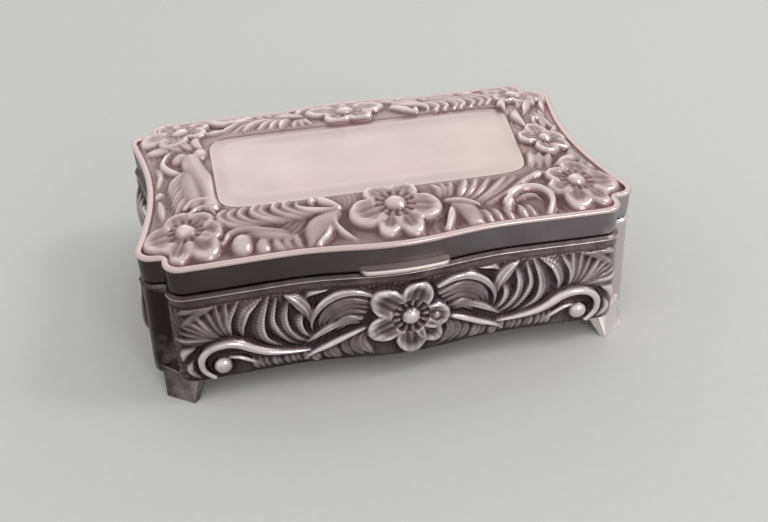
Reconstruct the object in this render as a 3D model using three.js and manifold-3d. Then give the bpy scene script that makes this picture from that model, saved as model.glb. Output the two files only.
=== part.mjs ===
// Trinket box: a small cast box on four bracket feet, with a hinged relief lid and a velvet lining.
// Millimetres. +X runs along the box, the front faces -Y and +Z is up. The floor is at z = 0.

import * as THREE from 'three';
import { mergeVertices } from 'three/addons/utils/BufferGeometryUtils.js';
import Module from 'manifold-3d';

const wasm = await Module();
wasm.setup();

// Plan outline, given for one quarter: half the length over the ears and half the depth over the long walls,
// then what is set in from them. A short flat joins the ear to the notch, and another the notch to the corner
const EAR_HALF = 45;
const LONG_FACE = 29.3;
const WAIST_SET = 2.7;
const EAR_RADIUS = 3.1;
const EAR_LEAN = THREE.MathUtils.degToRad(12);
const EAR_FLAT = 0.4;
const WAIST_CURVE_LENGTH = 7.5;
const EAR_CURVE_LENGTH = 7;
const NOTCH_RADIUS = 0.8;
const CORNER_RADIUS = 3.2;
const CORNER_FLAT = 0.8;
const DIP_DEPTH = 0.45;
const BOW_DEPTH = 1.75;
const BOW_HALF = 19;
const OUTLINE_STEPS = { end: 5, ear: 4, notch: 1, corner: 3, long: 8 };

// Heights above the floor
const FOOT_HEIGHT = 4.4;
const WALL_BOTTOM = 3.7;
const BODY_TOP = 21.6;
const PARTING_GAP = 0.2;
const SKIRT_HEIGHT = 5.4;
const PANEL_HEIGHT = 3.0;

// Castings
const WALL = 1.4;
const LEDGE_PROUD = 0.4;
const LEDGE_HEIGHT = 0.6;
const JOINT_GAP = 0.3;
const SEAT_GAP = 0.3;

// Feet. The front points are given from the middle of the corner's arc, the side points from that of the ear's
const FOOT_RUN = 1.5;
const FOOT_FRONT_TIP = { x: 0.8, y: 4.9 };
const FOOT_FRONT_TOP = { x: 1.8, y: 2.7 };
const FOOT_SIDE_TIP = { x: 1.4, y: 6.1 };
const FOOT_SIDE_TOP = { x: 2.3, y: 2.2 };
const FOOT_EDGE_SHARES = [0, 0.3, 0.7, 1];

// Lid
const LID_WALL = 1.2;
const SKIRT_SET = 0.25;
const BEAD_HEIGHT = 1.4;
const BEAD_WIDTH = 1.6;
const BEAD_ROUND = 0.35;
const BEAD_DROP = 0.7;
const BORDER_END_WIDTH = 15;
const BORDER_SIDE_WIDTH = 14.3;
const PANEL_SQUARENESS = 7;
const PANEL_STEP = 0.7;
const PANEL_CROWN = 0.4;
const PANEL_CROWN_REACH = 5;
const PANEL_ROUND = 0.5;

// Thumb lift
const LIFT_HALF = 8;
const LIFT_REACH = 2;
const LIFT_THICK = 1.1;
const LIFT_HEIGHT = 0.3;
const LIFT_STEPS = 12;
const LIFT_UNDERSIDE_SHARE = 0.8;
const LIFT_TOP_SHARE = 0.9;

// Hinge
const HINGE_LENGTH = 22;
const KNUCKLES = 5;
const KNUCKLE_GAP = 0.25;
const KNUCKLE_RADIUS = 1;
const PIN_RADIUS = 0.45;
const PIN_CLEARANCE = 0.07;
const PIN_HEAD = 0.35;
const LEAF_THICK = 0.6;
const LEAF_HEIGHT = 2.1;
const HEEL_REACH = 1.8;
const STOP_GAP = 0.3;
const OPEN_ANGLE = THREE.MathUtils.degToRad(100);

// Bottom and lining
const PLATE_THICK = 0.8;
const CARD_THICK = 0.8;
const VELVET_THICK = 1.5;
const LID_VELVET_THICK = 1.2;
const STRIP_THICK = 0.8;
const STRIP_DROP = 1.8;

// Relief heads, leaves and balls. Each ring is given as a share of the width and a share of the height
const BALL_RINGS = [{ width: 0.8, rise: 0.6 }, { width: 0.4, rise: 1 }];
const BLOOM_RINGS = [{ width: 0.85, rise: 0.7 }, { width: 0.38, rise: 0.5 }, { width: 0.24, rise: 1 }];
const LEAF_RINGS = [{ width: 0.7, rise: 0.75 }, { width: 0.25, rise: 1 }];
const PETALS = 5;
const PETAL_POINTS = 3;
const PETAL_CLEFT = 0.72;
const FRONT_BLOOM_RADIUS = 7.2;
const BACK_BLOOM_RADIUS = 6.1;
const END_BLOOM_RADIUS = 6.4;
const LID_BLOOM_RADIUS = 7.2;
const CORNER_BLOOM_RADIUS = 6.2;
const CORNER_BLOOM_SET = { x: 9, y: 9.5 };
const BLOOM_PROUD = 1.5;
const LEAF_PROUD = 1.2;
const LEAF_STATIONS = 5;
const LEAF_TIP_RUN = 0.14;
const LEAF_FULLNESS = 0.6;
const BALL_SIDES = 7;
const RELIEF_ROOT = 0.4;
const BACK_RELIEF_SHARE = 0.92;
const SLIVER = 0.01;

// Leaves, ribs and scrolls on one half of a wall, each along a route. A route's points give the distance inwards
// from the wall's end and the height over its foot
const LONG_WALL_LEAVES = [
  { width: 1.7, route: [[32.3, 13.1], [26.2, 14.4], [21.4, 10.9], [21, 6.5]] },
  { width: 3.4, route: [[30.1, 10.6], [27, 11.4], [23.7, 9.6], [22.9, 7]] },
  { width: 1.6, route: [[29.9, 6.7], [24, 4], [19.2, 1.6]] },
  { width: 2.6, route: [[24.7, 7.2], [22.4, 6.2], [19.7, 4.5]] },
  { width: 1.5, route: [[19.4, 12.5], [17.8, 9.1], [18.9, 6.5]] },
  { width: 2.1, route: [[17.5, 14.5], [15.4, 9.9], [17.7, 5.5]] },
  { width: 1.6, route: [[14.9, 13.5], [13.5, 8.9], [14.9, 6.1]] },
  { width: 2.3, route: [[14.3, 15], [10.5, 11.7], [10.6, 9.3], [12.3, 6.5]] },
  { width: 1.7, route: [[10.3, 14.5], [7.8, 9.5], [8.7, 7.1]] },
  { width: 2.1, route: [[3.1, 1.1], [1.4, 5.5], [5.5, 7.8], [12.2, 4.9], [21.1, 3.2]] },
  { width: 1.9, route: [[6.6, 9.9], [5.3, 12.3], [5.7, 14.9]] },
  { width: 1.9, route: [[6, 9.7], [3.5, 12.1], [2.5, 14.8]] },
  { width: 1.9, route: [[5.5, 9.1], [2.8, 9.7], [0.6, 11]] },
];
const LONG_WALL_BALLS = [{ set: 4.5, rise: 3.2, radius: 1.7, proud: 1.6 }];
const END_WALL_LEAVES = [
  { width: 1.7, route: [[16.4, 12.5], [13.4, 13.9], [8.2, 11.3], [9, 6.7]] },
  { width: 3, route: [[15.2, 10.3], [11.2, 10.7], [9.9, 8.3]] },
  { width: 1.6, route: [[14.6, 6.5], [8.4, 3.8], [4.8, 1.5]] },
  { width: 2.4, proud: 1.5, route: [[6.8, 5.9], [5.2, 9.2], [6.6, 14.3]] },
  { width: 2.4, proud: 1.5, route: [[5.8, 5.3], [3, 9.3], [4.2, 14.5]] },
];

// The same for the lid, which half a turn repeats. On its front, the points give the distance across from the
// middle and the distance outwards from the panel's edge. On its end, the two change places
const LID_FRONT_LEAVES = [
  { width: 1.8, route: [[-19.6, 0.4], [-20.8, 3], [-14.8, 7.4]] },
  { width: 1.5, route: [[-17, 0.6], [-18, 2.9], [-15.2, 5.8]] },
  { width: 1.6, route: [[-22.2, 1], [-23, 4], [-18.8, 7.8]] },
  { width: 1.7, route: [[-24.4, 1.2], [-25.2, 4.6], [-20.8, 8.8]] },
  { width: 1.7, route: [[-27, 1.4], [-27.9, 4.4], [-24, 7.8]] },
  { width: 1.8, route: [[-24.4, 7.8], [-22.9, 9.8], [-23.4, 12.2]] },
  { width: 1.8, route: [[-21.4, 8.6], [-20, 10.4], [-20.3, 12.4]] },
  { width: 1.5, route: [[-9.8, 4.5], [-14.6, 4.6], [-16.3, 2.4], [-14.4, 0.5]] },
  { width: 4.6, route: [[-9.8, 5.6], [-13.2, 8.6], [-16, 12.4]] },
  { width: 1.1, route: [[-7.4, 12.7], [-10.2, 9], [-9.8, 5.6]] },
  { width: 2.3, route: [[10, 6.8], [10.2, 9.4], [8.6, 12.6]] },
  { width: 3.6, route: [[11.4, 7.6], [13.4, 9.8], [14.2, 12.2]] },
  { width: 2, route: [[14.2, 1], [13.4, 3], [12, 4.8]] },
  { width: 1.4, route: [[17.8, 0.8], [17.4, 2.8], [15.8, 5]] },
  { width: 1.6, route: [[20, 1], [19.2, 3.4], [16.4, 6.4]] },
  { width: 1.5, route: [[22.6, 1.4], [21, 4], [16.6, 7.2]] },
  { width: 1.7, route: [[26, 1.8], [22.6, 4.8], [16.2, 8]] },
  { width: 1.8, route: [[19.6, 9.6], [23, 6.3], [27.6, 7.4], [27.2, 12]] },
];
const LID_END_LEAVES = [
  { width: 1.9, route: [[-1.6, 4.2], [-1.6, 6.6], [-3, 8.6]] },
  { width: 1.9, route: [[-4.4, 3.8], [-5, 6.4], [-6.6, 8.8]] },
  { width: 1.9, route: [[-7.4, 3.4], [-8.2, 6], [-10, 8.2]] },
  { width: 4.4, route: [[4.6, 3], [-3, 2.8], [-13.8, 0.6]] },
  { width: 1.6, route: [[0.6, 5.2], [5.6, 8.5], [11.9, 7.8]] },
  { width: 2, route: [[10.4, 4.4], [13, 5.2], [15.6, 4.4]] },
];
const LID_FRONT_BALLS = [
  { set: -27.2, rise: 9.4, radius: 2.3 },
  { set: 20.8, rise: 8.6, radius: 1.5 },
  { set: -13.4, rise: 2, radius: 1 },
];
const LID_END_BALLS = [{ set: 7.9, rise: 5.4, radius: 1.9 }, { set: 7.4, rise: 1.7, radius: 1.9 }];

// Values that follow from those above
const WAIST_HALF = EAR_HALF - WAIST_SET;
const CORNER_X = EAR_HALF - EAR_RADIUS - EAR_FLAT - NOTCH_RADIUS - CORNER_RADIUS;
const CORNER_Y = LONG_FACE - CORNER_RADIUS;
const EAR_X = EAR_HALF - EAR_RADIUS;
const EAR_Y = CORNER_Y - CORNER_FLAT - NOTCH_RADIUS - EAR_RADIUS;
const PANEL_HALF_LENGTH = EAR_HALF - BORDER_END_WIDTH;
const PANEL_HALF_DEPTH = LONG_FACE - BORDER_SIDE_WIDTH;
const LID_BOTTOM = BODY_TOP + PARTING_GAP;
const RIM_TOP = LID_BOTTOM + SKIRT_HEIGHT;
const LID_TOP = RIM_TOP + PANEL_HEIGHT;
const BORDER_LOW = RIM_TOP - BEAD_DROP;
const PANEL_EDGE = LID_TOP - PANEL_CROWN;
const BORDER_HIGH = PANEL_EDGE - PANEL_STEP;
const FOOT_START_X = CORNER_X - FOOT_RUN;
const FOOT_SIDE_START = EAR_Y - EAR_RADIUS;

const silver = new THREE.MeshStandardMaterial({ color: 0xa89a9a, roughness: 0.3, metalness: 1 });
const steel = new THREE.MeshStandardMaterial({ color: 0x8f8a88, roughness: 0.35, metalness: 1 });
const card = new THREE.MeshStandardMaterial({ color: 0xb7a78c, roughness: 0.9, metalness: 0 });
const velvet = new THREE.MeshStandardMaterial({ color: 0x5a0f1c, roughness: 1, metalness: 0 });

// Points along an arc, both ends included
function arcPoints(centreX, centreY, radius, start, end, steps) {
  const points = [];
  for (let i = 0; i <= steps; i += 1) {
    const angle = start + ((end - start) * i) / steps;
    points.push(new THREE.Vector2(centreX + radius * Math.cos(angle), centreY + radius * Math.sin(angle)));
  }
  return points;
}

// Distance of the long wall's face from the middle line, at x
function longFace(x) {
  const across = Math.abs(x);
  const dip = LONG_FACE - DIP_DEPTH;
  if (across < BOW_HALF) {
    return dip + (BOW_DEPTH * (1 + Math.cos((Math.PI * across) / BOW_HALF))) / 2;
  }
  const share = Math.min(1, (across - BOW_HALF) / (CORNER_X - BOW_HALF));
  return dip + (DIP_DEPTH * (1 - Math.cos(Math.PI * share))) / 2;
}

// One quarter of the outline, from the waist to the middle of the long wall
function quarterOutline() {
  const ear = arcPoints(EAR_X, EAR_Y, EAR_RADIUS, -EAR_LEAN, Math.PI / 2, OUTLINE_STEPS.ear);
  const end = new THREE.CubicBezierCurve(
    new THREE.Vector2(WAIST_HALF, 0),
    new THREE.Vector2(WAIST_HALF, WAIST_CURVE_LENGTH),
    new THREE.Vector2(ear[0].x - EAR_CURVE_LENGTH * Math.sin(EAR_LEAN), ear[0].y - EAR_CURVE_LENGTH * Math.cos(EAR_LEAN)),
    ear[0],
  ).getPoints(OUTLINE_STEPS.end);
  const notchX = CORNER_X + CORNER_RADIUS + NOTCH_RADIUS;
  const notchY = EAR_Y + EAR_RADIUS + NOTCH_RADIUS;
  const notch = arcPoints(notchX, notchY, NOTCH_RADIUS, -Math.PI / 2, -Math.PI, OUTLINE_STEPS.notch);
  const corner = arcPoints(CORNER_X, CORNER_Y, CORNER_RADIUS, 0, Math.PI / 2, OUTLINE_STEPS.corner);
  const long = [];
  for (let i = 1; i <= OUTLINE_STEPS.long; i += 1) {
    const x = CORNER_X * (1 - i / OUTLINE_STEPS.long);
    long.push(new THREE.Vector2(x, longFace(x)));
  }
  const points = [...end, ...ear.slice(1), ...notch, ...corner, ...long];
  return {
    points,
    earIndex: end.length - 1,
    notchIndex: end.length - 1 + ear.length,
    longIndex: points.length - long.length - 1,
  };
}

const quarter = quarterOutline();
const QUARTER_STEPS = quarter.points.length - 1;
const LOOP_STEPS = 4 * QUARTER_STEPS;

// The whole outline, anticlockwise from the right-hand waist
function wholeOutline() {
  const loop = [];
  for (let i = 0; i < LOOP_STEPS; i += 1) {
    const turn = Math.floor(i / QUARTER_STEPS);
    const along = i % QUARTER_STEPS;
    const source = quarter.points[turn % 2 === 0 ? along : QUARTER_STEPS - along];
    const signX = turn === 0 || turn === 3 ? 1 : -1;
    const signY = turn < 2 ? 1 : -1;
    loop.push(new THREE.Vector2(signX * source.x, signY * source.y));
  }
  return loop;
}

const outline = wholeOutline();

// The outline moved outwards by a distance, point by point
function offsetOutline(distance) {
  return outline.map((point, i) => {
    const before = outline[(i + LOOP_STEPS - 1) % LOOP_STEPS];
    const after = outline[(i + 1) % LOOP_STEPS];
    const first = new THREE.Vector2(point.y - before.y, before.x - point.x).normalize();
    const second = new THREE.Vector2(after.y - point.y, point.x - after.x).normalize();
    const normal = first.clone().add(second).normalize();
    return point.clone().addScaledVector(normal, distance / normal.dot(first));
  });
}

// The stretch of an offset outline between two places, with each end drawn back
function stretch(from, to, distance, drawBack) {
  const loop = offsetOutline(distance);
  const points = [];
  for (let i = from; i <= to; i += 1) {
    points.push(loop[(i + LOOP_STEPS) % LOOP_STEPS].clone());
  }
  const last = points.length - 1;
  points[0].addScaledVector(points[1].clone().sub(points[0]).normalize(), drawBack);
  points[last].addScaledVector(points[last - 1].clone().sub(points[last]).normalize(), drawBack);
  return points;
}

// A closed strip in plan, between two offsets of the outline
function strip(from, to, outer, inner, drawBack) {
  return [...stretch(from, to, outer, drawBack), ...stretch(from, to, inner, drawBack).reverse()];
}

function atHeight(points, z) {
  return points.map((point) => new THREE.Vector3(point.x, point.y, z));
}

// A closed skin over rings of equal count, capped at the first and the last
function skin(rings) {
  const count = rings[0].length;
  const positions = rings.flat().flatMap((point) => [point.x, point.y, point.z]);
  const index = [];
  for (let r = 0; r + 1 < rings.length; r += 1) {
    for (let i = 0; i < count; i += 1) {
      const a = r * count + i;
      const b = r * count + ((i + 1) % count);
      index.push(a, b, b + count, a, b + count, a + count);
    }
  }
  const capFaces = (ring, base, reverse) => {
    const flat = ring.map((point) => new THREE.Vector2(point.x, point.y));
    THREE.ShapeUtils.triangulateShape(flat, []).forEach(([a, b, c]) => {
      index.push(base + a, base + (reverse ? c : b), base + (reverse ? b : c));
    });
  };
  const anticlockwise = !THREE.ShapeUtils.isClockWise(rings[0].map((p) => new THREE.Vector2(p.x, p.y)));
  capFaces(rings[0], 0, anticlockwise);
  capFaces(rings[rings.length - 1], (rings.length - 1) * count, !anticlockwise);
  const geometry = new THREE.BufferGeometry();
  geometry.setAttribute('position', new THREE.Float32BufferAttribute(positions, 3));
  geometry.setIndex(index);
  return geometry;
}

// A prism over one plan loop
function prism(points, bottom, top) {
  return skin([atHeight(points, bottom), atHeight(points, top)]);
}

function block(x0, x1, y0, y1, z0, z1) {
  const geometry = new THREE.BoxGeometry(x1 - x0, y1 - y0, z1 - z0);
  return geometry.translate((x0 + x1) / 2, (y0 + y1) / 2, (z0 + z1) / 2);
}

// Solids for cutting and joining
function solidOf(geometry) {
  const bare = geometry.clone();
  bare.deleteAttribute('normal');
  bare.deleteAttribute('uv');
  const merged = mergeVertices(bare, 1e-4);
  return new wasm.Manifold(new wasm.Mesh({
    numProp: 3,
    vertProperties: new Float32Array(merged.attributes.position.array),
    triVerts: new Uint32Array(merged.index.array),
  }));
}

function geometryOf(solid) {
  const mesh = solid.simplify(SLIVER).getMesh();
  const positions = [];
  for (let i = 0; i < mesh.vertProperties.length; i += mesh.numProp) {
    positions.push(mesh.vertProperties[i], mesh.vertProperties[i + 1], mesh.vertProperties[i + 2]);
  }
  const geometry = new THREE.BufferGeometry();
  geometry.setAttribute('position', new THREE.Float32BufferAttribute(positions, 3));
  geometry.setIndex([...mesh.triVerts]);
  return geometry;
}

function join(geometries) {
  return geometries.slice(1).reduce((sum, part) => sum.add(solidOf(part)), solidOf(geometries[0]));
}

// Relief
// A face to carve on: across, up and outward directions, and the height of its surface
const frontPanel = {
  place: (across, up, out) => new THREE.Vector3(across, -out, up),
  surface: (across) => longFace(across),
};
const backPanel = {
  place: (across, up, out) => new THREE.Vector3(-across, out, up),
  surface: (across) => longFace(across),
};
const rightPanel = {
  place: (across, up, out) => new THREE.Vector3(out, across, up),
  surface: (across) => endFace(across),
};
const leftPanel = {
  place: (across, up, out) => new THREE.Vector3(-out, -across, up),
  surface: (across) => endFace(across),
};
const lidPanel = {
  place: (across, up, out) => new THREE.Vector3(across, up, out),
  surface: (across, up) => borderHeight(across, up),
};

// Distance of an end wall's face from the middle line, at y
function endFace(y) {
  const points = quarter.points.slice(0, quarter.earIndex + 1);
  const reach = Math.min(Math.abs(y), points[quarter.earIndex].y);
  const after = Math.max(1, points.findIndex((point) => point.y >= reach));
  const share = (reach - points[after - 1].y) / (points[after].y - points[after - 1].y);
  return THREE.MathUtils.lerp(points[after - 1].x, points[after].x, share);
}

// Height of the lid's border between its bead and its panel
function borderHeight(x, y) {
  const shareX = (Math.abs(x) - PANEL_HALF_LENGTH) / (WAIST_HALF - BEAD_WIDTH - PANEL_HALF_LENGTH);
  const shareY = (Math.abs(y) - PANEL_HALF_DEPTH) / (LONG_FACE - BEAD_WIDTH - PANEL_HALF_DEPTH);
  const share = THREE.MathUtils.clamp(Math.max(shareX, shareY), 0, 1);
  return THREE.MathUtils.lerp(BORDER_HIGH, BORDER_LOW, share);
}

// The same geometry with its faces turned out, after a mirroring
function outwards(geometry) {
  const position = geometry.attributes.position;
  const index = geometry.index.array;
  const corners = [new THREE.Vector3(), new THREE.Vector3(), new THREE.Vector3()];
  let volume = 0;
  for (let i = 0; i < index.length; i += 3) {
    corners.forEach((corner, k) => corner.fromBufferAttribute(position, index[i + k]));
    volume += corners[0].dot(corners[1].clone().cross(corners[2]));
  }
  if (volume < 0) {
    for (let i = 0; i < index.length; i += 3) {
      [index[i + 1], index[i + 2]] = [index[i + 2], index[i + 1]];
    }
  }
  return geometry;
}

// A lump of relief in a panel's own frame: rings of points that follow the panel's face
function lump(panel, across, up, rings) {
  const onFace = rings.map(({ points, proud }) => points.map((point) => {
    const x = across + point.x;
    const y = up + point.y;
    return new THREE.Vector3(x, y, panel.surface(x, y) + proud);
  }));
  const geometry = skin(onFace);
  const position = geometry.attributes.position;
  for (let i = 0; i < position.count; i += 1) {
    const point = panel.place(position.getX(i), position.getY(i), position.getZ(i));
    position.setXYZ(i, point.x, point.y, point.z);
  }
  return outwards(geometry);
}

// A ball or boss of the relief
function ball(panel, { across, up, radius, proud = LEAF_PROUD }) {
  const ringAt = (share, height) => ({
    proud: height,
    points: arcPoints(0, 0, radius * share, 0, 2 * Math.PI, BALL_SIDES).slice(1),
  });
  const raised = BALL_RINGS.map(({ width, rise }) => ringAt(width, rise * proud));
  return lump(panel, across, up, [ringAt(1, -RELIEF_ROOT), ...raised]);
}

// A leaf, rib or scroll along a route, fullest between its two tips
function leaf(panel, { route, width, proud = LEAF_PROUD }) {
  const curve = new THREE.SplineCurve(route.map(([across, up]) => new THREE.Vector2(across, up)));
  const ringAt = (share, height) => {
    const tip = LEAF_TIP_RUN * (1 - share);
    const left = [];
    const right = [];
    for (let i = 0; i <= LEAF_STATIONS; i += 1) {
      const along = THREE.MathUtils.lerp(tip, 1 - tip, i / LEAF_STATIONS);
      const heading = curve.getTangent(along);
      const side = new THREE.Vector2(-heading.y, heading.x);
      const fullness = Math.sin((Math.PI * i) / LEAF_STATIONS) ** LEAF_FULLNESS;
      const reach = (width / 2) * share * fullness;
      const middle = curve.getPoint(along);
      left.push(middle.clone().addScaledVector(side, reach));
      right.push(middle.clone().addScaledVector(side, -reach));
    }
    return { proud: height, points: [...left, ...right.slice(1, -1).reverse()] };
  };
  const raised = LEAF_RINGS.map(({ width: share, rise }) => ringAt(share, rise * proud));
  return lump(panel, 0, 0, [ringAt(1, -RELIEF_ROOT), ...raised]);
}

// A flower head: five petals, dished towards a domed centre
function bloom(panel, { across, up, radius, proud = BLOOM_PROUD }) {
  const sides = PETALS * PETAL_POINTS;
  const ringAt = (share, height) => ({
    proud: height,
    points: arcPoints(0, 0, radius * share, -Math.PI / 2, 1.5 * Math.PI, sides).slice(1).map((point, i) => (
      point.multiplyScalar((i + 1) % PETAL_POINTS === 0 ? PETAL_CLEFT : 1)
    )),
  });
  const raised = BLOOM_RINGS.map(({ width, rise }) => ringAt(width, rise * proud));
  return lump(panel, across, up, [ringAt(1, -RELIEF_ROOT), ...raised]);
}

// The same piece of relief on both sides of a middle line
function paired(shape) {
  const turned = shape.route
    ? { route: shape.route.map(([across, up]) => [-across, up]) }
    : { across: -shape.across };
  return [shape, { ...shape, ...turned }];
}

// Relief on a wall whose ends lie at a distance from the middle: a flower, then leaves and balls on both sides.
// The share lowers it over the wall's foot, to keep clear of the hinge
const WALL_MIDDLE = (WALL_BOTTOM + BODY_TOP) / 2 - LEDGE_HEIGHT;

function wallRelief(panel, end, bloomRadius, leaves, balls, share = 1) {
  const flower = bloom(panel, { across: 0, up: WALL_MIDDLE, radius: bloomRadius });
  const placedLeaves = leaves.map((shape) => (
    { ...shape, route: shape.route.map(([set, rise]) => [end - set, WALL_BOTTOM + rise * share]) }
  ));
  const placedBalls = balls.map((shape) => (
    { ...shape, across: end - shape.set, up: WALL_BOTTOM + shape.rise * share }
  ));
  return [
    flower,
    ...placedLeaves.flatMap(paired).map((shape) => leaf(panel, shape)),
    ...placedBalls.flatMap(paired).map((shape) => ball(panel, shape)),
  ];
}

// Long-wall relief: curled leaves beside the flower, leaf fans, and scrolls that end in balls
function longWallRelief(panel, bloomRadius, share) {
  return wallRelief(panel, CORNER_X, bloomRadius, LONG_WALL_LEAVES, LONG_WALL_BALLS, share);
}

function endWallRelief(panel) {
  return wallRelief(panel, EAR_Y, END_BLOOM_RADIUS, END_WALL_LEAVES, []);
}

// Lid relief: four corner flowers, two middle flowers, and leaves and balls between them
function lidRelief() {
  const middle = { across: 0, up: -(PANEL_HALF_DEPTH + LONG_FACE - BEAD_WIDTH) / 2, radius: LID_BLOOM_RADIUS };
  const corner = {
    across: EAR_HALF - CORNER_BLOOM_SET.x,
    up: CORNER_BLOOM_SET.y - LONG_FACE,
    radius: CORNER_BLOOM_RADIUS,
  };
  const onFront = (across, out) => [across, -PANEL_HALF_DEPTH - out];
  const onEnd = (up, out) => [-PANEL_HALF_LENGTH - out, up];
  const parts = [];
  [1, -1].forEach((side) => {
    const turned = ([across, up]) => [side * across, side * up];
    [middle, ...paired(corner)].forEach((flower) => {
      parts.push(bloom(lidPanel, { ...flower, across: side * flower.across, up: side * flower.up }));
    });
    const faces = [[LID_FRONT_LEAVES, LID_FRONT_BALLS, onFront], [LID_END_LEAVES, LID_END_BALLS, onEnd]];
    faces.forEach(([leaves, balls, place]) => {
      leaves.forEach(({ width, route }) => {
        parts.push(leaf(lidPanel, { width, route: route.map(([along, out]) => turned(place(along, out))) }));
      });
      balls.forEach(({ set, rise, radius }) => {
        const [across, up] = turned(place(set, rise));
        parts.push(ball(lidPanel, { across, up, radius }));
      });
    });
  });
  return parts;
}

// Body castings
function wallGeometry(from, to, relief) {
  const plain = strip(from, to, 0, -WALL, JOINT_GAP / 2);
  const ledge = strip(from, to, LEDGE_PROUD, -WALL, JOINT_GAP / 2);
  const ledgeFoot = BODY_TOP - LEDGE_HEIGHT;
  const wall = skin([
    atHeight(plain, WALL_BOTTOM),
    atHeight(plain, ledgeFoot),
    atHeight(ledge, ledgeFoot),
    atHeight(ledge, BODY_TOP),
  ]);
  return join([wall, ...relief]);
}

// Room for the two feet under a wall's ends
function clearOfFeet(solid, alongX) {
  const start = alongX ? FOOT_START_X - SEAT_GAP : FOOT_SIDE_START - SEAT_GAP;
  const far = 2 * EAR_HALF;
  return [-1, 1].reduce((rest, side) => {
    const near = Math.min(side * start, side * far);
    const end = Math.max(side * start, side * far);
    const cutter = alongX
      ? block(near, end, -far, far, -FOOT_HEIGHT, FOOT_HEIGHT)
      : block(-far, far, near, end, -FOOT_HEIGHT, FOOT_HEIGHT);
    return rest.subtract(solidOf(cutter));
  }, solid);
}

// One corner post with its flared foot, for the corner in the given quarter
function postGeometry(signX, signY) {
  const start = quarter.earIndex;
  const end = quarter.notchIndex;
  const toCorner = (points) => points.map((p) => new THREE.Vector2(signX * p.x, signY * p.y));
  const plain = toCorner(strip(start, end, 0, -WALL, JOINT_GAP / 2));
  const ledge = toCorner(strip(start, end, LEDGE_PROUD, -WALL, JOINT_GAP / 2));
  const ledgeFoot = BODY_TOP - LEDGE_HEIGHT;
  const post = outwards(skin([
    atHeight(plain, FOOT_HEIGHT / 2),
    atHeight(plain, ledgeFoot),
    atHeight(ledge, ledgeFoot),
    atHeight(ledge, BODY_TOP),
  ]));
  const fromCorner = ({ x, y }) => new THREE.Vector2(CORNER_X + x, CORNER_Y + y);
  const fromEar = ({ x, y }) => new THREE.Vector2(EAR_X + x, EAR_Y + y);
  const footTop = [
    new THREE.Vector2(FOOT_START_X, longFace(FOOT_START_X)),
    fromCorner(FOOT_FRONT_TOP),
    fromEar(FOOT_SIDE_TOP),
    new THREE.Vector2(endFace(FOOT_SIDE_START), FOOT_SIDE_START),
  ];
  const footBottom = FOOT_EDGE_SHARES.map((share) => (
    fromCorner(FOOT_FRONT_TIP).lerp(fromEar(FOOT_SIDE_TIP), share)
  ));
  const foot = outwards(skin([
    atHeight(toCorner(withInside(footBottom)), 0),
    atHeight(toCorner(withInside(footTop)), FOOT_HEIGHT),
  ]));
  return geometryOf(join([foot, post]));
}

// A foot's outer edge, from the long wall to the end wall, closed by an inner edge one wall away
function withInside(chain) {
  const last = chain.length - 1;
  const diagonal = new THREE.Vector2(-1, -1).setLength(WALL);
  const inner = chain.map((point, i) => {
    if (i === 0) {
      return new THREE.Vector2(point.x, point.y - WALL);
    }
    return i === last ? new THREE.Vector2(point.x - WALL, point.y) : point.clone().add(diagonal);
  });
  return [...chain, ...inner.reverse()];
}

// Panel outline for the lid, one point for each point of the box's outline
function panelLoop(grow) {
  const halfX = PANEL_HALF_LENGTH + grow;
  const halfY = PANEL_HALF_DEPTH + grow;
  return outline.map((point) => {
    const x = point.x / EAR_HALF;
    const y = point.y / LONG_FACE;
    const gauge = (Math.abs(x) ** PANEL_SQUARENESS + Math.abs(y) ** PANEL_SQUARENESS) ** (1 / PANEL_SQUARENESS);
    return new THREE.Vector2((halfX * x) / gauge, (halfY * y) / gauge);
  });
}

function blendLoops(first, second, share) {
  return first.map((point, i) => point.clone().lerp(second[i], share));
}

// The lid: skirt, bead, rising border and cushion-shaped panel, hollow underneath
function lidGeometry() {
  const skirtOuter = offsetOutline(-SKIRT_SET);
  const skirtInner = offsetOutline(-SKIRT_SET - LID_WALL);
  const beadOuter = offsetOutline(0);
  const beadFoot = offsetOutline(-BEAD_WIDTH);
  const beadStart = RIM_TOP - BEAD_HEIGHT;
  const middle = blendLoops(beadFoot, panelLoop(PANEL_ROUND), 0.5);
  const shell = skin([
    atHeight(panelLoop(-PANEL_STEP), LID_TOP - PANEL_CROWN - LID_WALL),
    atHeight(panelLoop(PANEL_ROUND), BORDER_HIGH - LID_WALL),
    atHeight(skirtInner, BORDER_LOW - LID_WALL),
    atHeight(skirtInner, LID_BOTTOM),
    atHeight(skirtOuter, LID_BOTTOM),
    atHeight(skirtOuter, beadStart),
    atHeight(beadOuter, beadStart + BEAD_ROUND),
    atHeight(beadOuter, RIM_TOP - BEAD_ROUND),
    atHeight(offsetOutline(-BEAD_ROUND), RIM_TOP),
    atHeight(offsetOutline(BEAD_ROUND - BEAD_WIDTH), RIM_TOP),
    atHeight(beadFoot, BORDER_LOW),
    atHeight(middle, (BORDER_LOW + BORDER_HIGH) / 2),
    atHeight(panelLoop(PANEL_ROUND), BORDER_HIGH),
    atHeight(panelLoop(0), PANEL_EDGE),
    atHeight(panelLoop(-PANEL_CROWN_REACH), LID_TOP),
  ]);
  return geometryOf(join([shell, ...lidRelief()]));
}

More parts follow.
